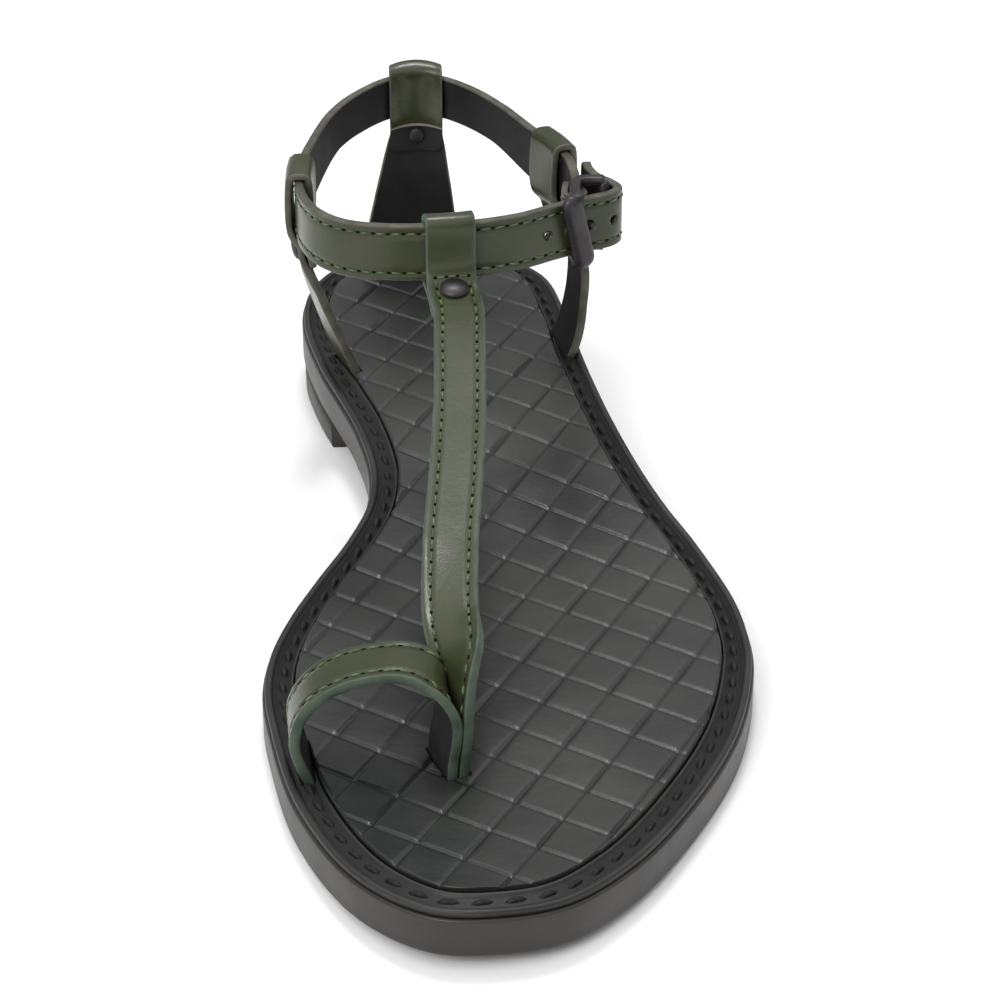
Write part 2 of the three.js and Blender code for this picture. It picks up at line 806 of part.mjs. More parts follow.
// The footbed: one sheet with its woven strips raised, every second crossing turned
function weaveSheet() {
  const turn = THREE.MathUtils.degToRad(weaveTurn);
  const skew = THREE.MathUtils.degToRad(weaveTurn + weaveSkew);
  const first = new THREE.Vector3(Math.cos(turn), Math.sin(turn), 0).multiplyScalar(weavePitch);
  const second = new THREE.Vector3(Math.cos(skew), Math.sin(skew), 0)
    .multiplyScalar(weavePitch * weaveStretch);
  const origin = new THREE.Vector3(0.021 * ballWidth, -0.19 * soleLength, 0);
  const reach = Math.ceil((0.75 * soleLength) / weavePitch);
  const low = footbedThickness - weaveDepth;
  const place = (u, v, z) => origin.clone().addScaledVector(first, u).addScaledVector(second, v).setZ(z);
  const skin = new Skin();
  const count = 2 * reach;
  for (let i = 0; i <= count; i += 1) {
    for (let j = 0; j <= count; j += 1) {
      skin.add([place(i - reach, j - reach, low)]);
    }
  }
  const at = (i, j) => i * (count + 1) + j;
  for (let i = 0; i < count; i += 1) {
    for (let j = 0; j < count; j += 1) {
      const lengthways = (i + j) % 2 === 0;
      const du = lengthways ? crownEnd : crownSide;
      const dv = lengthways ? crownSide : crownEnd;
      const u = i - reach;
      const v = j - reach;
      const crown = skin.add([
        place(u + du, v + dv, footbedThickness),
        place(u + 1 - du, v + dv, footbedThickness),
        place(u + 1 - du, v + 1 - dv, footbedThickness),
        place(u + du, v + 1 - dv, footbedThickness),
      ]);
      const rim = [at(i, j), at(i + 1, j), at(i + 1, j + 1), at(i, j + 1)];
      for (let side = 0; side < 4; side += 1) {
        const next = (side + 1) % 4;
        skin.triangles.push([rim[side], rim[next], crown + next], [rim[side], crown + next, crown + side]);
      }
      skin.triangles.push([crown, crown + 1, crown + 2], [crown, crown + 2, crown + 3]);
    }
  }
  const rimLoop = [];
  const rimSides = [
    { i: 0, j: 0, stepI: 1, stepJ: 0 },
    { i: count, j: 0, stepI: 0, stepJ: 1 },
    { i: count, j: count, stepI: -1, stepJ: 0 },
    { i: 0, j: count, stepI: 0, stepJ: -1 },
  ];
  for (const { i, j, stepI, stepJ } of rimSides) {
    for (let k = 0; k < count; k += 1) {
      rimLoop.push(at(i + k * stepI, j + k * stepJ));
    }
  }
  const floor = skin.add(rimLoop.map((id) => skin.points[id].clone().setZ(-weavePitch)));
  const centre = skin.add([place(0, 0, -weavePitch)]);
  for (let k = 0; k < rimLoop.length; k += 1) {
    const next = (k + 1) % rimLoop.length;
    skin.triangles.push([floor + k, floor + next, rimLoop[next]], [floor + k, rimLoop[next], rimLoop[k]]);
    skin.triangles.push([centre, floor + next, floor + k]);
  }
  return skin.geometry();
}

function footbed(cutters) {
  const inset = weltWidth + gap / 2;
  const blank = soleSlab([
    { inset, height: () => 0 },
    { inset, height: () => footbedThickness * 2 },
  ]);
  const flat = toGeometry(toSolid(blank).intersect(toSolid(weaveSheet())));
  const position = flat.attributes.position;
  for (let i = 0; i < position.count; i += 1) {
    position.setZ(i, position.getZ(i) + soleTop(position.getY(i)) + gap);
  }
  return cutBy(flat, cutters);
}

// The welt: a ring round the footbed with a raised lip outside and a sunken channel for the stitches
function welt(cutters) {
  const inner = weltWidth - gap / 2;
  const level = (share) => (y) => soleTop(y) + gap + share;
  const channel = weltThickness - channelDepth;
  const section = [
    { inset: edgeBevel * 0.6, height: level(0) },
    { inset: edgeBevel * 0.6, height: level(weltThickness) },
    { inset: weltLip, height: level(weltThickness) },
    { inset: weltLip + channelDepth, height: level(channel) },
    { inset: inner, height: level(channel) },
    { inset: inner, height: level(0) },
  ];
  const skin = new Skin();
  const starts = section.map((row) => skin.add(soleLoop(row.inset, row.height)));
  for (let i = 0; i < starts.length; i += 1) {
    skin.wall(starts[i], starts[(i + 1) % starts.length], 2 * sideSteps);
  }
  return cutBy(skin.geometry(), cutters);
}

function outsole() {
  return soleSlab([
    { inset: edgeBevel, height: underside },
    { inset: 0, height: (y) => underside(y) + edgeBevel },
    { inset: 0, height: (y) => soleTop(y) - edgeBevel / 2 },
    { inset: edgeBevel / 2, height: soleTop },
  ]);
}

// The heel block under the back of the sole, with a straight breast
function heelBlock() {
  const steps = 18;
  const breast = heelBreast * soleLength;
  const skin = new Skin();
  const levels = [
    { inset: heelInset + edgeBevel / 2, height: () => 0 },
    { inset: heelInset, height: () => edgeBevel / 2 },
    { inset: heelInset, height: (y) => underside(y) - gap },
  ];
  const starts = levels.map((level) => {
    const outer = sideLine('outer', level.inset, breast, steps);
    const inner = sideLine('inner', level.inset, breast, steps);
    outer[0].y = breast;
    inner[0].y = breast;
    const loop = [...outer, ...inner.slice(0, -1).reverse()];
    return skin.add(loop.map((p) => new THREE.Vector3(p.x, p.y, level.height(p.y))));
  });
  const count = 2 * steps + 1;
  for (let i = 1; i < starts.length; i += 1) {
    skin.wall(starts[i - 1], starts[i], count);
  }
  const pairs = (start) => {
    const right = [];
    const left = [];
    for (let k = 0; k <= steps; k += 1) {
      right.push(start + k);
      left.push(k === steps ? start + steps : start + count - 1 - k);
    }
    return { right, left };
  };
  const low = pairs(starts[0]);
  const high = pairs(starts[starts.length - 1]);
  skin.cover(low.right, low.left, true);
  skin.cover(high.right, high.left, false);
  return skin.geometry();
}

// All that lies below the straps' ends: the sole and the gap on it
function soleRoom() {
  const inset = -strapWidth;
  return soleSlab([
    { inset, height: () => -soleThickness },
    { inset, height: (y) => soleTop(y) + gap },
  ]);
}

// Materials
const finish = (color, roughness, metalness = 0) => new THREE.MeshStandardMaterial({
  color,
  roughness,
  metalness,
});
const green = finish(0x474f36, 0.45);
const black = finish(0x2b2b29, 0.5);
const soleBlack = finish(0x33312e, 0.4);
const metal = finish(0x2c2a2b, 0.35, 0.6);

const sandal = new THREE.Group();

function addPiece(name, geometry, material) {
  const mesh = new THREE.Mesh(geometry, material);
  mesh.name = name;
  sandal.add(mesh);
}

// Straps and what passes through them
const tee = teeRows();
const toe = toeRows();
const frontRing = ankleAt(frontLoopRow);
const frontRivet = {
  at: loopRow(frontRing, frontRivetOut, teeHeight(frontRivetOut), [1, 0]).at,
  out: frontRing.out.clone().multiplyScalar(teeSlope).addScaledVector(up, 1).normalize(),
  front: strapThickness / 2,
  back: flapDrop + loopThickness / 2,
};
const rivets = {
  front: rivetParts(frontRivet),
  inner: rivetParts(innerStrap.rivet),
  outer: rivetParts(outerStrap.rivet),
  heel: rivetParts(heelCounter.rivet),
};
const prong = prongEnds();
const prongRoom = rod(
  prong.start.clone().lerp(prong.tip, -0.3),
  prong.tip.clone().lerp(prong.start, -0.3),
  prongWidth / 2 + gap,
  8,
);

// Slots for the feet of the straps
const footRows = (rows) => rows.slice(0, 3);
const slots = [
  strap(footRows(tee), { grow: gap }),
  strap(footRows([...toe].reverse()), { grow: gap }),
  strap(footRows(toe), { grow: gap }),
  strap(footRows(innerStrap.rows), { grow: gap }),
  strap(footRows(outerStrap.rows), { grow: gap }),
  strap(footRows(heelCounter.rows), { grow: gap, columns: 4 }),
];

const soleBelow = soleRoom();
const ankleRoom = strap(ankleRows, { grow: gap });
addPiece('outsole', outsole(), soleBlack);
addPiece('heel_block', heelBlock(), soleBlack);
addPiece('welt', welt(slots), black);
addPiece('footbed', footbed(slots), black);
addPiece('t_strap', cutBy(strap(tee, { columns: 3 }), [soleBelow, rivets.front.hole]), green);
addPiece('toe_strap', cutBy(strap(toe), [soleBelow, strap(tee, { grow: gap })]), green);
addPiece('ankle_strap', cutBy(strap(ankleRows), [prongRoom, ...ankleHoles()]), green);
const sideStraps = [
  { name: 'inner_strap', rows: innerStrap.rows, columns: 3, cutters: [rivets.inner.hole] },
  { name: 'outer_strap', rows: outerStrap.rows, columns: 3, cutters: [rivets.outer.hole] },
  { name: 'heel_counter', rows: heelCounter.rows, columns: 4, cutters: [rivets.heel.hole, ankleRoom] },
];
for (const { name, rows, columns, cutters } of sideStraps) {
  addPiece(name, cutBy(strap(rows, { columns }), [soleBelow, ...cutters]), green);
}
addPiece('buckle_frame', buckleFrame(), metal);
addPiece('buckle_prong', rod(prong.start, prong.tip, prongWidth / 2, 8), metal);
for (const [place, parts] of Object.entries(rivets)) {
  addPiece(`rivet_${place}`, parts.solid, metal);
}

export default sandal;
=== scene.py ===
"""Left T-strap sandal with a toe strap, dressed over its CAD frame.

Shapes are worked out in millimetres in the frame's own axes: +Z up, toes towards -Y, the outer side of
the foot towards +X. They become metres when a mesh is made.
"""

import math

import bpy
import numpy as np
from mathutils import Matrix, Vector


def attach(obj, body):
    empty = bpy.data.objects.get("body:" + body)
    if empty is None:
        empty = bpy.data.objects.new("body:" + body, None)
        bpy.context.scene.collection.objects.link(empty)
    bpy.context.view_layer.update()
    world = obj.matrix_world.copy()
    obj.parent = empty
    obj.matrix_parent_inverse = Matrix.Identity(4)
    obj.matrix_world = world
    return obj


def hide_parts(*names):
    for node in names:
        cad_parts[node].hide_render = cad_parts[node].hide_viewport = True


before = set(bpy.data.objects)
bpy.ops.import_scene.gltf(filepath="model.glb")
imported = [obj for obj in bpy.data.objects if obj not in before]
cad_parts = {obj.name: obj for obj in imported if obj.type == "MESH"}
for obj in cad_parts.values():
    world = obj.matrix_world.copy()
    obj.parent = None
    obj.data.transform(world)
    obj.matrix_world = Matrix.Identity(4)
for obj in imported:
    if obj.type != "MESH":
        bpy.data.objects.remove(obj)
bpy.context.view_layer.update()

# Sizes of the sole
SOLE_LENGTH = 250
BALL_WIDTH = 92
HEEL_WIDTH = 60
SOLE_THICKNESS = 7.5
TOE_SPRING = 2.5
ARCH_RISE = 6.6
HEEL_PITCH = 2.4
HEEL_INSET = 0.4
HEEL_ROUND = 0.5
SOLE_LOW_ROUND = 0.9
SOLE_TOP_ROUND = 0.6
WELT_WIDTH = 6
WELT_LIP = 1.8
WELT_THICKNESS = 1.2
FOOTBED_THICKNESS = 2.4
WEAVE_DEPTH = 0.5
WEAVE_PITCH = 9.5
WEAVE_TURN = -38.5
WEAVE_SKEW = 97.9
WEAVE_STRETCH = 1.03
TOE_BEND = -0.3
ARCH_START = -0.1
HEEL_BREAST = 0.238

# Sizes of the straps
STRAP_WIDTH = 12
TEE_WIDTH = 10.2
TOE_WIDTH = 11.2
STRAP_THICKNESS = 1.9
LOOP_THICKNESS = 1.4
ANKLE_HEIGHT = 52.3
ANKLE_WIDTH = 58
ANKLE_LENGTH = 86
ANKLE_BACK_WIDTH = 9.6
ANKLE_TAPER_START = 0.5
ANKLE_TAPER_RUN = 0.24
FLAP_LENGTH = 8
COUNTER_WIDTH = 24
COUNTER_CUP = 3
COUNTER_MIDDLE = -0.105
COUNTER_FLARE = 1.3
THONG_TURN = 17
STITCH_PITCH = 3.0
STITCH_LINE = 1.75
STITCH_RADIUS = 0.24
STITCH_TILT = 0.1
RAW_EDGE = 0.5
END_RADIUS = 2.0
STRAP_STEP = 0.8

# Sizes of the hard pieces
RIVET_HEAD = 5.8
RIVET_CAP = 3.6
RIVET_SHANK = 2.2
RIVET_DOME = 1.2
RIVET_DROP = 4.6
BUCKLE_BAR = 4.7
BUCKLE_BAR_DEPTH = 2.8
BUCKLE_TILT = 14
BUCKLE_RAIL = 1.8
HINGE_BAR = 1.6
END_BAR = 2.4
PRONG_WIDTH = 1.6
HOLE_SIZE = 2
HOLE_PITCH = 5.3
OPEN_HOLES = (-2, -1, 1)

GAP = 0.3
EDGE_ROUND = 0.35
LOOP_ROOM = GAP * 1.4
LOOP_OFFSET = (STRAP_THICKNESS + LOOP_THICKNESS) / 2 + LOOP_ROOM
LOOP_RISE = LOOP_THICKNESS / 2 + LOOP_ROOM
COUNTER_RISE = LOOP_RISE * 1.7
LAYER_OFFSET = (LOOP_THICKNESS + GAP) / 2
UP = np.array([0.0, 0.0, 1.0])

# Edge of the sole: along is a share of its length, across a share of its width at that place
OUTER_EDGE = [
    (-0.500, -0.087), (-0.490, 0.032), (-0.449, 0.162), (-0.372, 0.308), (-0.286, 0.427),
    (-0.200, 0.491), (-0.152, 0.501), (-0.097, 0.491), (-0.022, 0.459), (0.032, 0.442),
    (0.094, 0.442), (0.176, 0.456), (0.267, 0.440), (0.358, 0.410), (0.432, 0.360),
    (0.468, 0.258), (0.492, 0.108), (0.500, -0.092),
]
INNER_EDGE = [
    (0.490, -0.308), (0.458, -0.483), (0.412, -0.572), (0.355, -0.592), (0.279, -0.548),
    (0.216, -0.481), (0.160, -0.394), (0.096, -0.318), (0.049, -0.305), (0.002, -0.333),
    (-0.052, -0.388), (-0.102, -0.442), (-0.157, -0.486), (-0.204, -0.500), (-0.256, -0.490),
    (-0.359, -0.440), (-0.451, -0.333), (-0.494, -0.209),
]

# The ankle strap in plan: shares of its loop's width and length; it starts at the flap folded round
# the hinge bar and ends at the free tip
ANKLE_TABLE = [
    (0.452, 0.228), (0.443, 0.196), (0.441, 0.160), (0.473, 0.138), (0.506, 0.160), (0.500, 0.198),
    (0.492, 0.245), (0.491, 0.309), (0.483, 0.391), (0.450, 0.478), (0.383, 0.583), (0.271, 0.774),
    (0.167, 0.902), (0.069, 0.974), (-0.024, 0.998), (-0.121, 0.977), (-0.229, 0.902),
    (-0.348, 0.762), (-0.457, 0.507), (-0.495, 0.356), (-0.491, 0.215), (-0.440, 0.106),
    (-0.347, 0.035), (-0.200, 0.002), (0.029, 0.000), (0.250, 0.036), (0.388, 0.088),
    (0.459, 0.114), (0.529, 0.136), (0.598, 0.157), (0.631, 0.188), (0.612, 0.227),
    (0.572, 0.265), (0.549, 0.312), (0.544, 0.370),
]
FOLDED_ROWS = 6
OUTER_LOOP_ROW = 9
HEEL_LOOP_ROW = 14
INNER_LOOP_ROW = 19.1
FRONT_LOOP_ROW = 23.92
PRONG_ROW = 27.85

# Where straps go into the sole, in sole lengths, and how far they lean out as they rise to the ankle
TOE_SEAM = -0.309
INNER_SEAM = 0.269
OUTER_SEAM = 0.296
INNER_LEAN = 0.2
OUTER_LEAN = -0.35
HEEL_LEAN = 0.05

# Thong, T-strap and toe strap: across in ball widths, along in sole lengths, up in shares of the height
THONG_TABLE = [(-0.151, -0.318, 0), (-0.146, -0.318, 0.16), (-0.138, -0.317, 0.31)]
TEE_TABLE = [
    (-0.124, -0.297, 0.430, (-0.62, -0.05, 0.78)),
    (-0.131, -0.257, 0.492, (-0.2, -0.2, 0.96)),
    (-0.118, -0.187, 0.594, (0, -0.23, 0.97)),
    (-0.093, -0.112, 0.698, (0, -0.23, 0.97)),
    (-0.071, -0.034, 0.802, (0, -0.23, 0.97)),
    (-0.0585, 0.032, 0.889, (0, -0.23, 0.97)),
]
TOE_TABLE = [
    (-0.439, -0.306, 0.140, (-0.98, 0, 0.2)),
    (-0.428, -0.303, 0.247, (-0.8, 0, 0.6)),
    (-0.389, -0.301, 0.342, (-0.55, 0, 0.83)),
    (-0.337, -0.301, 0.404, (-0.3, 0, 0.95)),
    (-0.277, -0.302, 0.435, (-0.1, 0, 0.99)),
    (-0.220, -0.304, 0.437, (0.1, -0.05, 0.99)),
    (-0.176, -0.309, 0.397, (0.45, -0.1, 0.88)),
]
TEE_SLOPE = 0.25
TEE_BEND = LOOP_OFFSET + STRAP_THICKNESS / 2
TEE_LIFT = 0.7
FRONT_RIVET_OUT = STRAP_WIDTH * 0.54
FLAP_DROP = (STRAP_THICKNESS + LOOP_THICKNESS) / 2 + GAP

# The turn of a loop over the ankle strap: out in loop offsets, rise in loop rises, and the way it looks
LOOP_ROOF = [(0.8, 0.75, (0.77, 0.64)), (0, 1, (0, 1)), (-0.8, 0.75, (-0.77, 0.64))]

# Buckle, in the ankle strap's shares
FRONT_BAR = (0.474, 0.081)
HINGE = (0.473, 0.160)
CORNER = (0.500, 0.196)
BACK_BAR = (0.581, 0.196)


# Curves
def unit(vectors):
    vectors = np.asarray(vectors, float)
    return vectors / np.linalg.norm(vectors, axis=-1, keepdims=True)


def lerp(a, b, t):
    return a + (b - a) * t


def ease(t):
    s = np.clip(t, 0, 1)
    return s * s * (3 - 2 * s)


class Path:
    """A centripetal Catmull-Rom curve; share runs from 0 to 1 over its points."""

    def __init__(self, points, closed=False):
        p = np.array(points, float)
        if closed:
            self.knots = np.vstack([p[-1], p, p[0], p[1]])
        else:
            self.knots = np.vstack([2 * p[0] - p[1], p, 2 * p[-1] - p[-2]])
        self.closed = closed
        self.spans = len(p) if closed else len(p) - 1

    def at(self, share):
        share = np.asarray(share, float)
        place = (share % 1 if self.closed else np.clip(share, 0, 1)) * self.spans
        span = np.minimum(place.astype(int), self.spans - 1)
        w = (place - span)[..., None]
        a, b, c, d = (self.knots[span + k] for k in range(4))
        before, here, after = (
            np.sqrt(np.linalg.norm(q - p, axis=-1, keepdims=True)) for p, q in ((a, b), (b, c), (c, d))
        )
        start = here * ((b - a) / before - (c - a) / (before + here) + (c - b) / here)
        end = here * ((c - b) / here - (d - b) / (here + after) + (d - c) / after)
        return b + w * start + w**2 * (3 * (c - b) - 2 * start - end) + w**3 * (2 * (b - c) + start + end)

    def tangent(self, share):
        step = 1e-4
        share = np.asarray(share, float)
        low, high = share - step, share + step
        if not self.closed:
            low, high = np.maximum(low, 0), np.minimum(high, 1)
        return unit(self.at(high) - self.at(low))


def arc_lengths(points):
    steps = np.linalg.norm(np.diff(points, axis=0), axis=1)
    return np.concatenate([[0], np.cumsum(steps)])


def at_lengths(line, wanted):
    """Points of a line of points at the wanted lengths along it."""
    lengths = arc_lengths(line)
    return np.stack([np.interp(wanted, lengths, line[:, k]) for k in range(3)], axis=1)


# The sole
def underside(y):
    share = np.asarray(y, float) / SOLE_LENGTH
    arch = ARCH_RISE * ease((share - ARCH_START) / (HEEL_BREAST - ARCH_START))
    pitch = HEEL_PITCH * np.clip((share - HEEL_BREAST) / (0.5 - HEEL_BREAST), 0, 1)
    toe = np.clip((TOE_BEND - share) / (0.5 + TOE_BEND), 0, 1)
    return arch + pitch + TOE_SPRING * toe * toe


def sole_top(y):
    return underside(y) + SOLE_THICKNESS


def footbed_top(y):
    return sole_top(y) + GAP + FOOTBED_THICKNESS


def sole_edge():
    points = []
    for along, across in OUTER_EDGE + INNER_EDGE:
        width = lerp(BALL_WIDTH, HEEL_WIDTH, ease((along + 0.08) / 0.32))
        points.append((across * width, along * SOLE_LENGTH, 0))
    return Path(points, closed=True)


EDGE = sole_edge()
HEEL_TIP = (len(OUTER_EDGE) - 1) / (len(OUTER_EDGE) + len(INNER_EDGE))


def edge_point(share, inset):
    return EDGE.at(share) + np.cross(UP, EDGE.tangent(share)) * inset


def share_at(side, y):
    low, high = (0, HEEL_TIP) if side == "outer" else (HEEL_TIP, 1)
    for _ in range(40):
        middle = (low + high) / 2
        if (EDGE.at(middle)[1] < y) == (side == "outer"):
            low = middle
        else:
            high = middle
    return (low + high) / 2


def side_line(side, inset, start_y, steps):
    """Points along one side from start_y to the tip of the heel, evenly spaced."""
    if start_y <= -SOLE_LENGTH / 2:
        first = 0 if side == "outer" else 1
    else:
        first = share_at(side, start_y)
    fine = edge_point(np.linspace(first, HEEL_TIP, 1200) + 1, inset)
    return at_lengths(fine, np.linspace(0, arc_lengths(fine)[-1], steps + 1))


def sole_loop(inset, height, steps=200):
    """A closed loop round the sole at one inset, each point lifted to height(y)."""
    outer, inner = (side_line(side, inset, -SOLE_LENGTH / 2, steps) for side in ("outer", "inner"))
    loop = np.vstack([outer, inner[1:-1][::-1]])
    loop[:, 2] = height(loop[:, 1])
    return loop


# Straps
def row(at, face, width=STRAP_WIDTH, thick=STRAP_THICKNESS, cup=0.0):
    return {"at": np.asarray(at, float), "face": unit(face), "width": width, "thick": thick, "cup": cup}


class Strap:
    """A flat band swept through rows; cup is how far its middle stands out from its edges."""

    def __init__(self, rows):
        self.rows = rows
        self.path = Path([r["at"] for r in rows])
        self.fine = np.linspace(0, 1, 40 * len(rows))
        self.lengths = arc_lengths(self.path.at(self.fine))
        self.length = self.lengths[-1]

    def share(self, length):
        return np.interp(length, self.lengths, self.fine)

    def place(self, share):
        share = np.asarray(share, float)
        position = share * (len(self.rows) - 1)
        low = np.minimum(position.astype(int), len(self.rows) - 2)
        part = position - low

        def mix(key):
            values = np.array([r[key] for r in self.rows], float)
            t = part[..., None] if values.ndim == 2 else part
            return lerp(values[low], values[low + 1], t)

        tangent = self.path.tangent(share)
        face = mix("face")
        face = unit(face - tangent * np.sum(face * tangent, axis=-1, keepdims=True))
        return {
            "at": self.path.at(share),
            "tangent": tangent,
            "face": face,
            "side": np.cross(face, tangent),
            "half": mix("width") / 2,
            "depth": mix("thick") / 2,
            "cup": mix("cup"),
        }

    def on(self, share, side, depth):
        """Points of the strap: side is measured from its middle, depth along its outer face."""
        p = self.place(share)
        crown = p["cup"] * (1 - (side / p["half"]) ** 2)
        return p["at"] + p["side"] * side[..., None] + p["face"] * (depth + crown)[..., None]


ANKLE_MIDDLE = -0.07 * BALL_WIDTH
ANKLE_BACK = SOLE_LENGTH / 2 - WELT_WIDTH - STRAP_THICKNESS / 2 - GAP
ANKLE_FRONT = ANKLE_BACK - ANKLE_LENGTH
ANKLE_TOP = ANKLE_HEIGHT + STRAP_WIDTH
ANKLE_CENTRE = (ANKLE_HEIGHT + ANKLE_TOP) / 2


def ankle_plan(shares, height):
    return np.array([ANKLE_MIDDLE + shares[0] * ANKLE_WIDTH, ANKLE_FRONT + shares[1] * ANKLE_LENGTH, height])


ANKLE_PATH = Path([ankle_plan(shares, ANKLE_CENTRE) for shares in ANKLE_TABLE])


def ankle_low(along):
    """The lower edge of the ankle strap, which rises towards the heel, where the strap is narrower."""
    narrow = ease((along - ANKLE_TAPER_START) / ANKLE_TAPER_RUN)
    return ANKLE_TOP - lerp(STRAP_WIDTH, ANKLE_BACK_WIDTH, narrow)


def ankle_strap():
    rows = []
    for i, shares in enumerate(ANKLE_TABLE):
        tangent = ANKLE_PATH.tangent(i / (len(ANKLE_TABLE) - 1))
        thick = LOOP_THICKNESS if i < FOLDED_ROWS else STRAP_THICKNESS
        low = ankle_low(shares[1])
        at = ankle_plan(shares, (low + ANKLE_TOP) / 2)
        rows.append(row(at, np.cross(tangent, UP), width=ANKLE_TOP - low, thick=thick))
    return Strap(rows)


def ankle_at(position):
    """A place on the ankle strap by row number, the level way out of its loop, its bulge there and
    the height of its lower edge.
    """
    share = position / (len(ANKLE_TABLE) - 1)
    at = ANKLE_PATH.at(share)
    out = np.cross(ANKLE_PATH.tangent(share), UP)
    sides = []
    for sign in (-1, 1):
        step = 0
        while np.linalg.norm(ANKLE_PATH.at(share + sign * step) - at) < STRAP_WIDTH / 2:
            step += 0.0005
        sides.append(ANKLE_PATH.at(share + sign * step))
    sag = float((at - (sides[0] + sides[1]) / 2) @ out)
    return {"at": at, "out": out, "sag": sag, "low": ankle_low((at[1] - ANKLE_FRONT) / ANKLE_LENGTH)}


def loop_row(ring, out, height, look, width=STRAP_WIDTH, thick=LOOP_THICKNESS):
    at = ring["at"] * (1, 1, 0) + UP * height + ring["out"] * (out - ring["sag"])
    face = unit(ring["out"] * look[0] + UP * look[1])
    return row(at, face, width=width, thick=thick, cup=ring["sag"] * float(face @ ring["out"]))


def loop_turn(ring, start=GAP, rise=LOOP_RISE, width=STRAP_WIDTH):
    high = ANKLE_TOP - EDGE_ROUND
    rows = [
        loop_row(ring, LOOP_OFFSET, ring["low"] + start, (1, 0), width),
        loop_row(ring, LOOP_OFFSET, high, (1, 0), width),
    ]
    for out, share, look in LOOP_ROOF:
        rows.append(loop_row(ring, LOOP_OFFSET * out, ANKLE_TOP + rise * share, look, width))
    rows.append(loop_row(ring, -LOOP_OFFSET, high, (-1, 0), width))
    rows.append(loop_row(ring, -LOOP_OFFSET, ring["low"] + GAP, (-1, 0), width))
    return rows


def side_strap(loop, base, lean, climb, width=None, cup=None, rise=LOOP_RISE):
    """A strap from the sole that turns over the ankle strap and ends in a riveted flap inside.

    climb holds the rows between sole and rivet: a share of the height, a bulge in strap widths and the
    way that the outer face looks.
    """
    ring = ankle_at(loop)
    foot, foot_face = base
    width = width or (lambda share: STRAP_WIDTH)
    cup = cup or (lambda share: 0.0)

    def layer(sign, drop):
        return loop_row(ring, sign * LAYER_OFFSET - lean * drop, ring["low"] - drop, (sign, 0))

    neck = layer(1, RIVET_DROP)
    rows = [row(foot, foot_face, width=width(0), cup=cup(0))]
    for share, bulge, face in climb:
        at = lerp(foot, neck["at"], share) + ring["out"] * bulge * STRAP_WIDTH
        rows.append(row(at, face, width=width(share), cup=cup(share)))
    pinch = RIVET_DROP - RIVET_HEAD / 3
    rows += [neck, layer(1, pinch)]
    rows += loop_turn(ring, rise=rise)
    rows += [layer(-1, drop) for drop in (pinch, RIVET_DROP, FLAP_LENGTH)]
    rivet = {
        "at": neck["at"] + ring["out"] * ring["sag"],
        "out": unit(ring["out"] - UP * lean),
        "front": LOOP_THICKNESS / 2,
        "back": LOOP_THICKNESS * 1.5 + GAP,
    }
    return Strap(rows), rivet


def strap_foot(y):
    return float(sole_top(y)) - STRAP_THICKNESS


def above(across, y, low, rise):
    """A place over the sole: across in ball widths, rise in shares of the way from low to the ankle."""
    return np.array([across * BALL_WIDTH, y, low + rise * (ANKLE_HEIGHT - low)])


def sideways(sign, turn):
    """The way sideways from the foot, turned towards the heel by an angle in degrees."""
    angle = math.radians(turn)
    return np.array([sign * math.cos(angle), math.sin(angle), 0.0])


def seam(side, along, inset, face):
    """Where a strap goes down into the sole at one inset from its edge, and its outer face's way."""
    point = edge_point(share_at(side, along * SOLE_LENGTH), inset)
    return np.array([point[0], point[1], strap_foot(point[1])]), face


def counter_base():
    y = SOLE_LENGTH / 2 - WELT_WIDTH - COUNTER_CUP
    return above(COUNTER_MIDDLE, y, strap_foot(y), 0), ankle_at(HEEL_LOOP_ROW)["out"]


def thong_row(values, side):
    across, along, rise = values
    y = along * SOLE_LENGTH
    face = sideways(1, THONG_TURN)
    at = above(across, y, strap_foot(y), rise)
    return row(at + face * side * (STRAP_THICKNESS + GAP) / 2, -side * face, width=TEE_WIDTH)


def free_row(values, width):
    across, along, rise, look = values
    y = along * SOLE_LENGTH
    return row(above(across, y, float(footbed_top(y)), rise), look, width=width)


def tee_height(out):
    return ANKLE_HEIGHT - GAP + TEE_LIFT - TEE_SLOPE * (out - LOOP_OFFSET)


def tee_strap():
    ring = ankle_at(FRONT_LOOP_ROW)
    knee = TEE_BEND + STRAP_THICKNESS
    flap_end = TEE_BEND + FLAP_LENGTH

    def over(out):
        look = (TEE_SLOPE, 1)
        return loop_row(ring, out, tee_height(out), look, width=TEE_WIDTH, thick=STRAP_THICKNESS)

    def bend(out, height, look):
        return loop_row(ring, out, height, look, width=TEE_WIDTH)

    def under(out, look, drop=FLAP_DROP):
        return bend(out, tee_height(out) - drop, look)

    rows = [thong_row(values, 1) for values in THONG_TABLE]
    rows += [free_row(values, TEE_WIDTH) for values in TEE_TABLE]
    rows += [over(STRAP_WIDTH), over(knee)]
    bend_height = ANKLE_HEIGHT + STRAP_THICKNESS / 2 + TEE_LIFT
    rows.append(bend(LOOP_OFFSET + EDGE_ROUND * 2, bend_height, (1, 0.9)))
    rows += loop_turn(ring, start=STRAP_WIDTH * 0.3, width=TEE_WIDTH)
    rows.append(bend(-0.8 * LOOP_OFFSET, ANKLE_HEIGHT - 0.8 * STRAP_THICKNESS, (-1, -0.6)))
    rows.append(under(0, (-0.4, -1), drop=FLAP_DROP + TEE_LIFT))
    rows += [under(out, (-TEE_SLOPE, -1)) for out in (TEE_BEND, flap_end)]
    rivet = {
        "at": loop_row(ring, FRONT_RIVET_OUT, tee_height(FRONT_RIVET_OUT), (1, 0))["at"],
        "out": unit(ring["out"] * TEE_SLOPE + UP),
        "front": STRAP_THICKNESS / 2,
        "back": FLAP_DROP + LOOP_THICKNESS / 2,
    }
    return Strap(rows), rivet


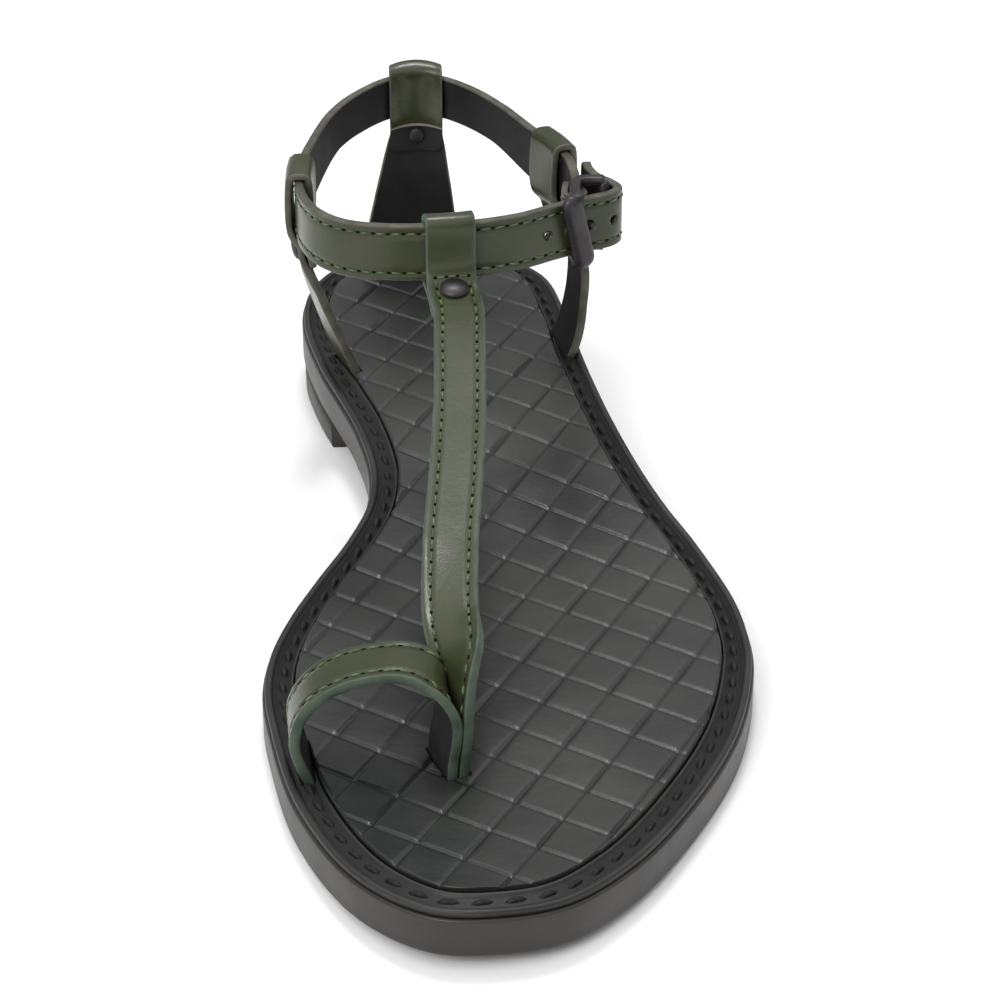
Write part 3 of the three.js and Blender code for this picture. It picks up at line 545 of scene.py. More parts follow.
TEE_CREASE_ROW = len(THONG_TABLE) + len(TEE_TABLE) + 1.8


def length_of_row(strap, number):
    return float(np.interp(number / (len(strap.rows) - 1), strap.fine, strap.lengths))


def toe_strap():
    foot, face = seam("inner", TOE_SEAM, WELT_WIDTH, sideways(-1, -5))
    rows = [row(foot, face, width=TOE_WIDTH)]
    rows += [free_row(values, TOE_WIDTH) for values in TOE_TABLE]
    rows += [thong_row(values, -1) for values in reversed(THONG_TABLE)]
    return Strap(rows)


# Materials
def fill(node, values):
    for name, value in values.items():
        node.inputs[name].default_value = value
    return node


def material(name, color, roughness, metallic=0.0, specular=0.5):
    made = bpy.data.materials.new(name)
    made.use_nodes = True
    values = {"Base Color": (*color, 1), "Roughness": roughness, "Metallic": metallic}
    values["Specular IOR Level"] = specular
    fill(made.node_tree.nodes["Principled BSDF"], values)
    return made


RAMP_STOPS = (0.3, 0.7)


class Nodes:
    """Short calls for one material's node tree."""

    def __init__(self, made):
        self.tree = made.node_tree
        self.shader = self.tree.nodes["Principled BSDF"]
        self.coords = self.tree.nodes.new("ShaderNodeTexCoord")

    def add(self, kind, **values):
        return fill(self.tree.nodes.new(f"ShaderNode{kind}"), values)

    def link(self, source, target):
        self.tree.links.new(source, target)

    def noise(self, scale, detail=4.0, roughness=0.55, stretch=None):
        node = self.add("TexNoise", Scale=scale, Detail=detail, Roughness=roughness)
        source = self.coords.outputs["Object"]
        if stretch:
            mapping = self.add("Mapping", Scale=stretch)
            self.link(source, mapping.inputs["Vector"])
            source = mapping.outputs["Vector"]
        self.link(source, node.inputs["Vector"])
        return node.outputs["Fac"]

    def ramp(self, source, low, high):
        """Two colours, blended over the middle of the noise's range."""
        node = self.add("ValToRGB")
        for stop, position, color in zip(node.color_ramp.elements, RAMP_STOPS, (low, high)):
            stop.position = position
            stop.color = (*color, 1)
        self.link(source, node.inputs["Fac"])
        return node.outputs["Color"]

    def spread(self, source, low, high):
        """A value from 0 to 1 stretched to run from low to high."""
        node = fill(self.add("MapRange"), {"To Min": low, "To Max": high})
        self.link(source, node.inputs["Value"])
        return node.outputs["Result"]

    def shade_grooves(self, source, groove_shade_colour):
        """Painted shade: a colour mixed towards a shade colour where the piece's groove attribute marks its
        grooves.
        """
        groove = self.add("Attribute")
        groove.attribute_name = "groove"
        node = self.add("Mix")
        node.data_type = "RGBA"
        sockets = {s.identifier: s for s in node.inputs}
        self.link(groove.outputs["Fac"], sockets["Factor_Float"])
        self.link(source, sockets["A_Color"])
        sockets["B_Color"].default_value = (*groove_shade_colour, 1)
        return {s.identifier: s for s in node.outputs}["Result_Color"]

    def bump(self, height, strength, distance):
        node = self.add("Bump", Strength=strength, Distance=distance)
        if self.shader.inputs["Normal"].is_linked:
            self.link(self.shader.inputs["Normal"].links[0].from_socket, node.inputs["Normal"])
        self.link(height, node.inputs["Height"])
        self.link(node.outputs["Normal"], self.shader.inputs["Normal"])

    def set(self, name, source):
        self.link(source, self.shader.inputs[name])


def textured(name, color, roughness, tones, gloss=None, bumps=(), groove_shade_colour=None, **shine):
    """A material whose tones, roughness and bumps follow noise.

    A noise is a scale, detail, roughness and stretch. tones holds a noise and two colours, gloss a noise
    and two roughnesses, each of bumps a noise, a strength and a distance; the colour for the grooves is
    painted shade, mixed in where the groove attribute is set.
    """
    made = material(name, color, roughness, **shine)
    nodes = Nodes(made)
    grain, low, high = tones
    tone = nodes.ramp(nodes.noise(*grain), low, high)
    # Painted shade: the tone is mixed towards a shade colour where the mesh's groove attribute is set.
    if groove_shade_colour:
        tone = nodes.shade_grooves(tone, groove_shade_colour)
    nodes.set("Base Color", tone)
    if gloss:
        grain, low, high = gloss
        nodes.set("Roughness", nodes.spread(nodes.noise(*grain), low, high))
    for grain, strength, distance in bumps:
        nodes.bump(nodes.noise(*grain), strength, distance)
    return made


def edge_paint(name, low, high):
    return textured(
        name, high, 0.5, specular=0.4,
        tones=([260], low, high),
        gloss=([300], 0.4, 0.65),
        bumps=[([500], 0.3, 0.0003)],
    )


STRAP = textured(
    "strap_leather", (0.045, 0.052, 0.024), 0.42, specular=0.4,
    tones=([38, 5], (0.024, 0.030, 0.011), (0.046, 0.052, 0.023)),
    gloss=([120], 0.22, 0.36),
    bumps=[([900, 3], 0.12, 0.0003), ([60, 2], 0.15, 0.001)],
)
LINING = textured(
    "lining_leather", (0.012, 0.011, 0.012), 0.6, specular=0.25,
    tones=([50], (0.007, 0.006, 0.007), (0.018, 0.016, 0.017)),
    gloss=([200], 0.5, 0.7),
    bumps=[([160, 5, 0.65, (1, 1, 0.35)], 0.5, 0.0006)],
)
GREEN_PAINT = edge_paint("green_paint", (0.026, 0.044, 0.029), (0.066, 0.092, 0.064))
OLIVE_PAINT = edge_paint("olive_paint", (0.042, 0.042, 0.030), (0.105, 0.102, 0.076))
RAW_CUT = material("raw_cut", (0.22, 0.21, 0.17), 0.8)
THREAD = textured(
    "thread", (0.12, 0.18, 0.09), 0.6, specular=0.3,
    tones=([700], (0.030, 0.060, 0.028), (0.14, 0.20, 0.105)),
    bumps=[([3000], 0.4, 0.0002)],
)
# Needle holes are not cut: near-black discs without shine lie on the leather as their painted shade.
NEEDLE_HOLE_SHADE = material("needle_hole_shade", (0.009, 0.012, 0.006), 1.0, specular=0.0)
BLACK_THREAD = textured(
    "black_thread", (0.01, 0.01, 0.01), 0.6, specular=0.2,
    tones=([1200], (0.007, 0.007, 0.007), (0.022, 0.022, 0.020)),
    bumps=[([2500], 0.4, 0.0002)],
)
# Painted shade: the footbed's colour is mixed towards its shade colour along the weave's grooves.
FOOTBED = textured(
    "footbed_leather", (0.03, 0.03, 0.029), 0.4, specular=0.45,
    tones=([22, 3], (0.007, 0.009, 0.008), (0.038, 0.039, 0.036)),
    groove_shade_colour=(0.004, 0.005, 0.005),
    gloss=([22, 3], 0.26, 0.46),
    bumps=[([700, 4], 0.15, 0.0003), ([90, 3], 0.2, 0.001)],
)
# Painted shade: the welt's colour is mixed towards its shade colour along the groove inside the lip and
# across the sunken band.
WELT = textured(
    "welt_leather", (0.02, 0.02, 0.02), 0.45, specular=0.4,
    tones=([45], (0.009, 0.009, 0.009), (0.025, 0.024, 0.023)),
    groove_shade_colour=(0.003, 0.003, 0.003),
    gloss=([150], 0.38, 0.6),
    bumps=[([600], 0.25, 0.0004)],
)
SOLE = textured(
    "sole_paint", (0.02, 0.018, 0.017), 0.4, specular=0.45,
    tones=([30, 3], (0.013, 0.011, 0.010), (0.030, 0.027, 0.025)),
    gloss=([140], 0.34, 0.5),
    bumps=[([260, 3, 0.55, (1, 1, 3)], 0.12, 0.0006)],
)
METAL = textured(
    "dark_metal", (0.045, 0.042, 0.044), 0.38, metallic=0.7,
    tones=([200], (0.028, 0.026, 0.028), (0.065, 0.060, 0.063)),
    gloss=([400], 0.32, 0.5),
    bumps=[([900], 0.08, 0.0002)],
)
DULL_METAL = material("dull_metal", (0.016, 0.014, 0.015), 0.5, metallic=0.3)


# Meshes
def added(name, data):
    thing = bpy.data.objects.new(name, data)
    bpy.context.scene.collection.objects.link(thing)
    return thing


def make_piece(name, points, faces, materials, zones=None, groove=None):
    """A smooth-shaded piece from points in millimetres, riding on the one body."""
    mesh = bpy.data.meshes.new(name)
    mesh.from_pydata((np.asarray(points, float) / 1000).tolist(), [], faces)
    for made in materials:
        mesh.materials.append(made)
    if zones is not None:
        mesh.polygons.foreach_set("material_index", zones)
    if groove is not None:
        mesh.attributes.new("groove", "FLOAT", "POINT").data.foreach_set("value", groove)
    mesh.polygons.foreach_set("use_smooth", [True] * len(mesh.polygons))
    mesh.validate()
    mesh.update()
    piece = added(name, mesh)
    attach(piece, "root")
    return piece


def tube_faces(rings, size, caps=True):
    """Quads between closed rings of equal size, with a polygon at each end."""
    faces = []
    for i in range(rings - 1):
        a, b = i * size, (i + 1) * size
        for k in range(size):
            n = (k + 1) % size
            faces.append((a + k, a + n, b + n, b + k))
    if caps:
        last = (rings - 1) * size
        faces.append(tuple(range(size - 1, -1, -1)))
        faces.append(tuple(range(last, last + size)))
    return faces


def cut(piece, cutters):
    """Takes the cutters' room out of a piece and removes them."""
    for cutter in cutters:
        modifier = piece.modifiers.new("cut", "BOOLEAN")
        modifier.operation = "DIFFERENCE"
        modifier.solver = "MANIFOLD"
        modifier.object = cutter
    graph = bpy.context.evaluated_depsgraph_get()
    mesh = bpy.data.meshes.new_from_object(piece.evaluated_get(graph))
    piece.modifiers.clear()
    piece.data = mesh
    for cutter in cutters:
        bpy.data.objects.remove(cutter)


# The section of a strap, round from one edge over the lining to the other and back over the outside.
# A point holds its side in half widths and in millimetres, its face, its height over the face, the
# share of the stitch groove's depth that it takes, and its zone.
ROUND = 0.42
GROOVE = 0.14
GROOVE_HALF = 0.55
OUTSIDE, INSIDE, EDGES, RAW = 0, 1, 2, 3


def strap_section():
    line = STITCH_LINE
    half_face = [
        (1, -ROUND, 0),
        (1, -line + GROOVE_HALF, 0),
        (1, -line + GROOVE_HALF * 0.4, 1),
        (1, -line - GROOVE_HALF * 0.4, 1),
        (1, -line - GROOVE_HALF, 0),
        (0.45, 0.0, 0),
        (0.2, 0.0, 0),
    ]
    face = half_face + [(0, 0.0, 0)] + [(-s, -o, g) for s, o, g in reversed(half_face)]
    bend = [(math.sin(a), math.cos(a)) for a in np.radians([67.5, 45, 22.5])]
    back = bend[::-1]

    def corner(side, look, turns):
        return [(side, -side * ROUND * (1 - x), look, -look * ROUND * (1 - z), 0, EDGES) for x, z in turns]

    inside = [(s, o, -1, 0.0, 0, INSIDE) for s, o, g in reversed(face)]
    outside = [(s, o, 1, 0.0, g, OUTSIDE) for s, o, g in face]
    first_edge = corner(1, -1, back) + corner(1, 1, bend)
    second_edge = corner(-1, 1, back) + corner(-1, -1, bend)
    return inside + first_edge + outside + second_edge


SECTION = strap_section()


def narrowed(left):
    """How much of the half width is lost near a rounded end, by the length left to the end."""
    left = np.clip(left, 0, END_RADIUS)
    return END_RADIUS - np.sqrt(np.maximum(END_RADIUS**2 - (END_RADIUS - left) ** 2, 0))


def strap_piece(name, strap, node, round_end, paint, stitched, flap):
    """The strap's leather, with eased corners.

    paint is the material of its edges; stitched holds the first and last length of the sunken stitch
    lines and the length that the stitches count from; flap is the length from which the outside is
    lining, after a raw cut line.
    """
    lengths = np.linspace(0, strap.length, int(strap.length / STRAP_STEP) + 1)
    if round_end:
        near = END_RADIUS * (1 - np.cos(np.linspace(0.12, math.pi / 2, 6)))
        lengths = np.append(lengths, strap.length - near)
    if flap:
        lengths = np.append(lengths, [flap, flap + RAW_EDGE])
    lengths = np.sort(lengths)
    lengths = lengths[np.concatenate([[True], np.diff(lengths) > 0.02])]
    shares = strap.share(lengths)
    place = strap.place(shares)
    half = place["half"]
    if round_end:
        half = half - narrowed(strap.length - lengths)
    first, last, _ = stitched or (math.inf, -math.inf, 0)
    groove = GROOVE * np.clip(np.minimum(lengths - first, last - lengths), 0, 1)
    rings = []
    for s, o, d, e, g, _ in SECTION:
        side = s * half + o
        rings.append(strap.on(shares, side, d * (place["depth"] - g * groove) + e))
    points = np.stack(rings, axis=1)
    size = len(SECTION)
    faces = tube_faces(len(lengths), size)
    zones = []
    for i in range(len(lengths) - 1):
        middle = (lengths[i] + lengths[i + 1]) / 2
        for k in range(size):
            kinds = {SECTION[k][5], SECTION[(k + 1) % size][5]}
            zone = EDGES if EDGES in kinds else kinds.pop()
            if flap and zone != INSIDE and middle > flap:
                zone = RAW if middle < flap + RAW_EDGE else INSIDE
            zones.append(zone)
    zones += [EDGES, INSIDE if flap else EDGES]
    made = [STRAP, LINING, paint, RAW_CUT]
    piece = make_piece(name, points.reshape(-1, 3), faces, made, zones=zones)
    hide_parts(node)
    return piece


def bead(length, wide, high):
    """One stitch, or a painted-shade disc for a needle hole: a rounded bead along X, bowed so that its ends
    go into the leather.
    """
    rings, sides = 5, 6
    points = []
    for t in np.linspace(-1, 1, rings):
        reach = math.sqrt(max(1 - abs(t) ** 3, 0.04))
        for a in np.linspace(0, 2 * math.pi, sides, endpoint=False):
            y, z = wide * reach * math.cos(a), high * reach * math.sin(a)
            points.append((t * length / 2, y, z - 0.5 * high * t * t))
    return np.array(points), tube_faces(rings, sides)


def bead_piece(name, places, made, size):
    """All the stitches of one seam as one piece, or its painted-shade discs for needle holes; places hold a
    centre and the three directions.
    """
    points, faces = bead(*size)
    beads = []
    for at, along, across, out in places:
        turned = at + points[:, :1] * along + points[:, 1:2] * across + points[:, 2:] * out
        beads.append((turned, faces))
    all_points, all_faces = joined(beads)
    make_piece(name, all_points, all_faces, [made])


CROSS_STITCHES = 3
CROSS_PITCH = (TEE_WIDTH - 2 * STITCH_LINE) / CROSS_STITCHES
THREAD_SIZE = (STITCH_PITCH * 0.62, STITCH_RADIUS, STITCH_RADIUS)
HOLE_SHADE_BEAD = (1.1, 0.33, 0.14)


def on_strap(strap, lengths, sides, rise, tilt=0.0):
    """Places on the outer face, each with its directions along the strap, across it and outwards."""
    shares = strap.share(lengths)
    place = strap.place(shares)
    places = []
    for i, at in enumerate(strap.on(shares, sides, place["depth"] + rise)):
        out = place["face"][i]
        along = unit(place["tangent"][i] + place["side"][i] * tilt)
        places.append((at, along, np.cross(out, along), out))
    return places


def strap_stitches(name, strap, stitched, cross=False):
    """Stitches, and painted-shade discs for the needle holes, along both edges, and a row across at the last
    length if asked.
    """
    first, last, origin = stitched
    low = math.ceil((first - origin) / STITCH_PITCH)
    high = math.floor((last - origin) / STITCH_PITCH)
    steps = origin + np.arange(low, high + 1) * STITCH_PITCH
    for kind, extra, rise, made, size in (
        ("stitches", 0, STITCH_RADIUS * 0.4, THREAD, THREAD_SIZE),
        # Painted shade: near-black discs without shine stand in for the needle holes.
        ("needle_hole_shades", 1, 0.0, NEEDLE_HOLE_SHADE, HOLE_SHADE_BEAD),
    ):
        lengths = steps if extra else steps[:-1] + STITCH_PITCH / 2
        places = []
        for edge in (-1, 1):
            sides = edge * (strap.place(strap.share(lengths))["half"] - STITCH_LINE)
            places += on_strap(strap, lengths, sides, rise - GROOVE, tilt=STITCH_TILT * edge)
        if cross:
            count = CROSS_STITCHES + extra
            sides = (np.arange(count) - (count - 1) / 2) * CROSS_PITCH
            turned = on_strap(strap, np.full(count, origin), sides, rise)
            places += [(at, across, -along, out) for at, along, across, out in turned]
        bead_piece(f"{name}_{kind}", places, made, size)


def circle(axis, sides):
    """The directions evenly round an axis."""
    first = unit(np.cross(axis, UP if abs(axis[2]) < 0.9 else np.array([0.0, 1.0, 0.0])))
    angles = np.linspace(0, 2 * math.pi, sides, endpoint=False)[:, None]
    return first * np.cos(angles) + np.cross(axis, first) * np.sin(angles)


def rivet_piece(name, place, node, made):
    """A domed head outside, a shank through both layers and a low cap inside."""
    head_base = place["front"] + GAP * 0.2
    cap_base = -place["back"] - GAP * 0.8
    head, cap, shank = RIVET_HEAD / 2, RIVET_CAP / 2, RIVET_SHANK / 2
    profile = [(0.02, cap_base - RIVET_DOME * 0.5), (cap * 0.85, cap_base - RIVET_DOME * 0.45)]
    profile += [(cap, cap_base - RIVET_DOME * 0.2), (cap, cap_base), (shank, cap_base), (shank, head_base)]
    profile += [(head * 0.94, head_base), (head, head_base + 0.12), (head, head_base + 0.32)]
    for angle in np.radians([15, 30, 45, 60, 75, 88]):
        radius = head * math.cos(angle) ** 0.75
        profile.append((radius, head_base + 0.32 + (RIVET_DOME - 0.1) * math.sin(angle)))
    turn = circle(place["out"], 40)
    rings = [place["at"] + place["out"] * height + radius * turn for radius, height in profile]
    piece = make_piece(name, np.vstack(rings), tube_faces(len(rings), len(turn)), [made])
    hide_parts(node)


def rod(start, end, radius, sides=24, dome=0.5):
    """A round bar between two points with domed ends, as points and faces."""
    along = unit(end - start)
    turn = circle(along, sides) * radius
    rings = []
    ends = [(start, -1, np.radians([88, 70, 50, 30, 10])), (end, 1, np.radians([10, 30, 50, 70, 88]))]
    for at, sign, bends in ends:
        for angle in bends:
            centre = at + along * sign * radius * dome * (math.sin(angle) - 1)
            rings.append(centre + turn * math.cos(angle))
    return np.vstack(rings), tube_faces(len(rings), sides)


def joined(parts):
    points = []
    faces = []
    start = 0
    for some_points, some_faces in parts:
        points.append(some_points)
        faces += [tuple(start + k for k in face) for face in some_faces]
        start += len(some_points)
    return np.vstack(points), faces


def rail(points):
    """A flat rail of the buckle with eased corners, swept level through plan points."""
    steps = 30
    path = Path(points)
    shares = np.linspace(0, 1, steps)
    centres = path.at(shares)
    tangents = path.tangent(shares)
    sides = np.cross(UP, tangents)
    section = []
    for sx, sz in ((1, 1), (-1, 1), (-1, -1), (1, -1)):
        for angle in ((20, 70) if sx * sz > 0 else (70, 20)):
            a = math.radians(angle)
            x = sx * (BUCKLE_RAIL * 0.6 - EDGE_ROUND * (1 - math.cos(a)))
            z = sz * (BUCKLE_RAIL / 2 - EDGE_ROUND * (1 - math.sin(a)))
            section.append((x, z))
    rings = [centres + sides * x + UP * z for x, z in section]
    return np.stack(rings, axis=1).reshape(-1, 3), tube_faces(steps, len(section))


# Sole, heel, welt and footbed
def cover(start, count, down=False):
    """A cover made of strips between the two sides of a loop; an odd count has a straight first edge."""
    flat = count % 2
    faces = []
    for k in range(count // 2):
        strip = [k, k + 1, count - k - 1 - flat, (count - k - flat) % count]
        if down:
            strip = strip[:1] + strip[:0:-1]
        faces.append(tuple(start + m for m in dict.fromkeys(strip)))
    return faces


def slab(name, loops):
    """A piece of the sole: walls between loops, and a cover on the first and the last."""
    count = len(loops[0])
    faces = tube_faces(len(loops), count, caps=False)
    faces += cover(0, count, down=True) + cover((len(loops) - 1) * count, count)
    return make_piece(name, np.vstack(loops), faces, [SOLE])


def quarter(degrees):
    """Inset and rise of a rounded edge at some angles, in shares of its radius."""
    return [(1 - math.sin(a), 1 - math.cos(a)) for a in np.radians(degrees)]


def outsole_piece():
    bend = quarter([0, 22, 45, 68, 90])
    low, high = SOLE_LOW_ROUND, SOLE_TOP_ROUND
    levels = [(low * inset, lambda y, r=rise: underside(y) + low * r) for inset, rise in bend]
    levels += [(high * inset, lambda y, r=rise: sole_top(y) - high * r) for inset, rise in reversed(bend)]
    piece = slab("sole_unit", [sole_loop(inset, height) for inset, height in levels])
    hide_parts("outsole")


def heel_piece():
    breast = HEEL_BREAST * SOLE_LENGTH
    levels = [
        (HEEL_INSET + HEEL_ROUND * inset, lambda y, r=rise: 0 * y + HEEL_ROUND * r)
        for inset, rise in quarter([0, 30, 60, 90])
    ]
    levels.append((HEEL_INSET, lambda y: underside(y) - GAP))
    loops = []
    for inset, height in levels:
        outer, inner = (side_line(side, inset, breast, 90) for side in ("outer", "inner"))
        outer[0, 1] = breast
        inner[0, 1] = breast
        loop = np.vstack([outer, inner[:-1][::-1]])
        loop[:, 2] = height(loop[:, 1])
        loops.append(loop)
    piece = slab("heel", loops)
    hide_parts("heel_block")


WELT_CHANNEL = 0.5
WELT_BAND = (WELT_LIP + 0.75, WELT_WIDTH - GAP / 2 - 0.9)
WELT_SHADE = 0.9
WELT_PITCH = 5.5
WELT_STITCH = (WELT_PITCH * 0.72, 0.6, 0.6)
WELT_STITCH_RISE = 0.15
WELT_STITCH_TILT = 0.12


def welt_piece():
    """A raised lip, a groove, a sunken band for the stitches and a rise to the footbed."""
    inner = WELT_WIDTH - GAP / 2
    full = WELT_THICKNESS
    band_level = full - WELT_CHANNEL
    section = [
        (0.5, 0.0), (0.48, full * 0.55), (0.58, full * 0.85), (0.85, full),
        (WELT_LIP - 0.25, full), (WELT_LIP, full * 0.85), (WELT_LIP + 0.2, band_level - 0.35),
        (WELT_LIP + 0.5, band_level - 0.35), (WELT_BAND[0], band_level),
        (WELT_BAND[1], band_level), (inner - 0.55, band_level + 0.5), (inner - 0.2, band_level + 0.9),
        (inner, band_level + 0.7), (inner, 0.0),
    ]
    loops = [sole_loop(inset, lambda y, r=rise: sole_top(y) + GAP + r) for inset, rise in section]
    count = len(loops[0])
    faces = tube_faces(len(loops), count, caps=False)
    last = (len(loops) - 1) * count
    for k in range(count):
        n = (k + 1) % count
        faces.append((last + k, last + n, n, k))
    shades = [WELT_SHADE if WELT_LIP < inset < inner - 0.7 else 0.0 for inset, _ in section]
    groove = np.repeat(shades, count)
    piece = make_piece("stitched_welt", np.vstack(loops), faces, [WELT], groove=groove)
    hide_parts("welt")
    return piece


def welt_stitches():
    """Long stitches laid in the welt's sunken band, all the way round."""
    rise = GAP + WELT_THICKNESS - WELT_CHANNEL + WELT_STITCH_RISE
    loop = sole_loop(sum(WELT_BAND) / 2, lambda y: sole_top(y) + rise, steps=400)
    loop = np.vstack([loop, loop[:1]])
    length = arc_lengths(loop)[-1]
    total = int(length / WELT_PITCH)
    wanted = (np.arange(total) + 0.5) * length / total
    places = []
    for at, onward in zip(at_lengths(loop, wanted), at_lengths(loop, wanted + 0.5)):
        along = unit(onward - at)
        across = unit(np.cross(UP, along))
        turned = unit(along + across * WELT_STITCH_TILT)
        places.append((at, turned, np.cross(UP, turned), UP))
    bead_piece("welt_stitches", places, BLACK_THREAD, WELT_STITCH)


def weave_step(length, degrees):
    return length * np.array([math.cos(math.radians(degrees)), math.sin(math.radians(degrees))])


WEAVE_FIRST = weave_step(WEAVE_PITCH, WEAVE_TURN)
WEAVE_SECOND = weave_step(WEAVE_PITCH * WEAVE_STRETCH, WEAVE_TURN + WEAVE_SKEW)
WEAVE_ORIGIN = np.array([0.021 * BALL_WIDTH, -0.19 * SOLE_LENGTH])


# The weave's lines: half widths, where along a cell the bold ones are widest, and depth shares of the
# bold, fine and running ones; then the shares of the weave's depth that grooves and crowns take. The
# lines' depth shares also set their painted shade.
GROOVE_BOLD = 0.95
GROOVE_FINE = 0.52
GROOVE_THROUGH = GROOVE_FINE * 1.15
BOLD_PEAK = 0.4
BOLD_DEPTH, FINE_DEPTH = 1.0, 0.6
THROUGH_DEPTHS = (0.85, 0.7)
GROOVE_SHARE = 0.9
CROWN_SHARE = 0.35
FOOTBED_ROLL = 0.5
FOOTBED_TIP_DROP = 0.4
FOOTBED_ROWS = 560
FOOTBED_COLUMNS = 170


def weave_grooves(points):
    """The embossed weave: depth shares of the grooves between its cells, and the cells' crowns.

    The lines one way are fine and run through; of the lines the other way every second stretch is bold
    and tapers, where a strip dips under the next one. The groove shares also set the painted shade in the
    grooves; the bold stretches get the most, as painted shade of dips that face away from the light.
    """
    lattice = np.linalg.inv(np.stack([WEAVE_FIRST, WEAVE_SECOND], axis=1))
    u, v = lattice @ (points[:, :2] - WEAVE_ORIGIN).T
    i, j = np.round(u), np.floor(v)
    to_line = np.abs(u - i) * WEAVE_PITCH
    bold = (i + j) % 2 == 0
    from_peak = np.abs(v - j - BOLD_PEAK) / (1 - BOLD_PEAK)
    half = np.where(bold, lerp(GROOVE_BOLD, GROOVE_FINE, from_peak), GROOVE_FINE)
    steep = np.where(bold, BOLD_DEPTH, FINE_DEPTH) * (1 - ease(to_line / half))
    k = np.round(v)
    other = (np.floor(u) + k) % 2 == 0
    to_line = np.abs(v - k) * WEAVE_PITCH * WEAVE_STRETCH
    through = np.where(other, *THROUGH_DEPTHS) * (1 - ease(to_line / GROOVE_THROUGH))
    crown = (2 * (u - np.floor(u)) - 1) ** 2 + (2 * (v - np.floor(v)) - 1) ** 2
    return np.maximum(steep, through), crown / 2


def footbed_piece():
    """The footbed with its embossed weave, from strips between its two sides."""
    rows, across = FOOTBED_ROWS, FOOTBED_COLUMNS
    inset = WELT_WIDTH + GAP / 2
    outer, inner = (side_line(side, inset, -SOLE_LENGTH / 2, rows) for side in ("outer", "inner"))
    t = np.linspace(0, 1, across + 1)[None, :, None]
    top = outer[1:-1, None, :] * (1 - t) + inner[1:-1, None, :] * t
    flat = top.reshape(-1, 3)
    left = np.linalg.norm(top - top[:, :1], axis=2)
    right = np.linalg.norm(top - top[:, -1:], axis=2)
    from_edge = np.minimum(left, right).reshape(-1)
    grooves, crowns = weave_grooves(flat)
    level = footbed_top(flat[:, 1]) - WEAVE_DEPTH * (GROOVE_SHARE * grooves + CROWN_SHARE * crowns)
    roll = 1 - np.clip(from_edge / FOOTBED_ROLL, 0, 1)
    flat[:, 2] = level - EDGE_ROUND * (1 - np.sqrt(1 - roll**2))
    count = across + 1
    used = rows - 1
    faces = []
    for k in range(used - 1):
        a, b = k * count, (k + 1) * count
        faces += [(a + m, b + m, b + m + 1, a + m + 1) for m in range(across)]
    tips = np.array([outer[0], outer[-1]])
    tips[:, 2] = footbed_top(tips[:, 1]) - FOOTBED_TIP_DROP
    tip = len(flat)
    last = (used - 1) * count
    faces += [(tip, m, m + 1) for m in range(across)]
    faces += [(tip + 1, last + m + 1, last + m) for m in range(across)]
    rim = [tip] + [k * count for k in range(used)] + [tip + 1]
    rim += [k * count + across for k in range(used - 1, -1, -1)]
    upper = np.vstack([flat, tips])
    low = upper[rim]
    low[:, 2] = sole_top(low[:, 1]) + GAP
    low_start = len(upper)
    n = len(rim)
    for k in range(n):
        m = (k + 1) % n
        faces.append((rim[k], low_start + k, low_start + m, rim[m]))
    faces += cover(low_start, n, down=True)
    points = np.vstack([upper, low])
    # The groove shares also become the footbed's painted shade in its grooves.
    groove = np.concatenate([grooves, np.zeros(len(points) - len(flat))])
    piece = make_piece("woven_footbed", points, faces, [FOOTBED], groove=groove)
    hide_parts("footbed")
    return piece


# Buckle
def front_bar(height):
    """A flat pill that leans along the ankle strap, as points and faces."""
    run = ANKLE_PATH.tangent(PRONG_ROW / (len(ANKLE_TABLE) - 1))
    out = np.cross(run, UP)
    tilt = math.radians(BUCKLE_TILT)
    axis = UP * math.cos(tilt) - run * math.sin(tilt)
    wide = np.cross(out, axis)
    centre = ankle_plan(FRONT_BAR, height)
    half = STRAP_WIDTH / 2
    angles = np.linspace(0, 2 * math.pi, 32, endpoint=False)[:, None]
    turn = BUCKLE_BAR / 2 * np.cos(angles) * wide + BUCKLE_BAR_DEPTH / 2 * np.sin(angles) * out
    rings = []
    for sign, bends in ((-1, (89, 75, 60, 45, 30, 15, 0)), (1, (0, 15, 30, 45, 60, 75, 89))):
        for angle in np.radians(bends):
            along = sign * (half + BUCKLE_BAR / 2 * math.sin(angle))
            rings.append(centre + axis * along + turn * math.cos(angle))
    return np.vstack(rings), tube_faces(len(rings), len(angles))


def buckle_pieces():
    rise = GAP + BUCKLE_RAIL / 2
    top, low = ANKLE_TOP + rise, ANKLE_HEIGHT - rise

    def bar(shares, radius):
        return rod(ankle_plan(shares, low), ankle_plan(shares, top), radius)

    front = front_bar((top + low) / 2)
    hinge = bar(HINGE, HINGE_BAR / 2)
    back = bar(BACK_BAR, END_BAR / 2)
    rails = []
    for height in (low, top):
        stops = [ankle_plan(shares, height) for shares in (FRONT_BAR, HINGE, CORNER, BACK_BAR)]
        rails.append(rail(stops))
    points, faces = joined([front, hinge, back, *rails])
    piece = make_piece("buckle", points, faces, [METAL])
    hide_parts("buckle_frame")

    hole = ankle_at(PRONG_ROW)
    start = ankle_plan(HINGE, ANKLE_CENTRE)
    away = unit(hole["at"] - start)
    start = start + away * (HINGE_BAR / 2 + GAP)
    tip = hole["at"] + hole["out"] * (STRAP_THICKNESS / 2 + PRONG_WIDTH)
    points, faces = rod(start, tip, PRONG_WIDTH / 2, sides=20, dome=1.0)
    prong = make_piece("prong", points, faces, [METAL])
    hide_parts("buckle_prong")
    return start, tip


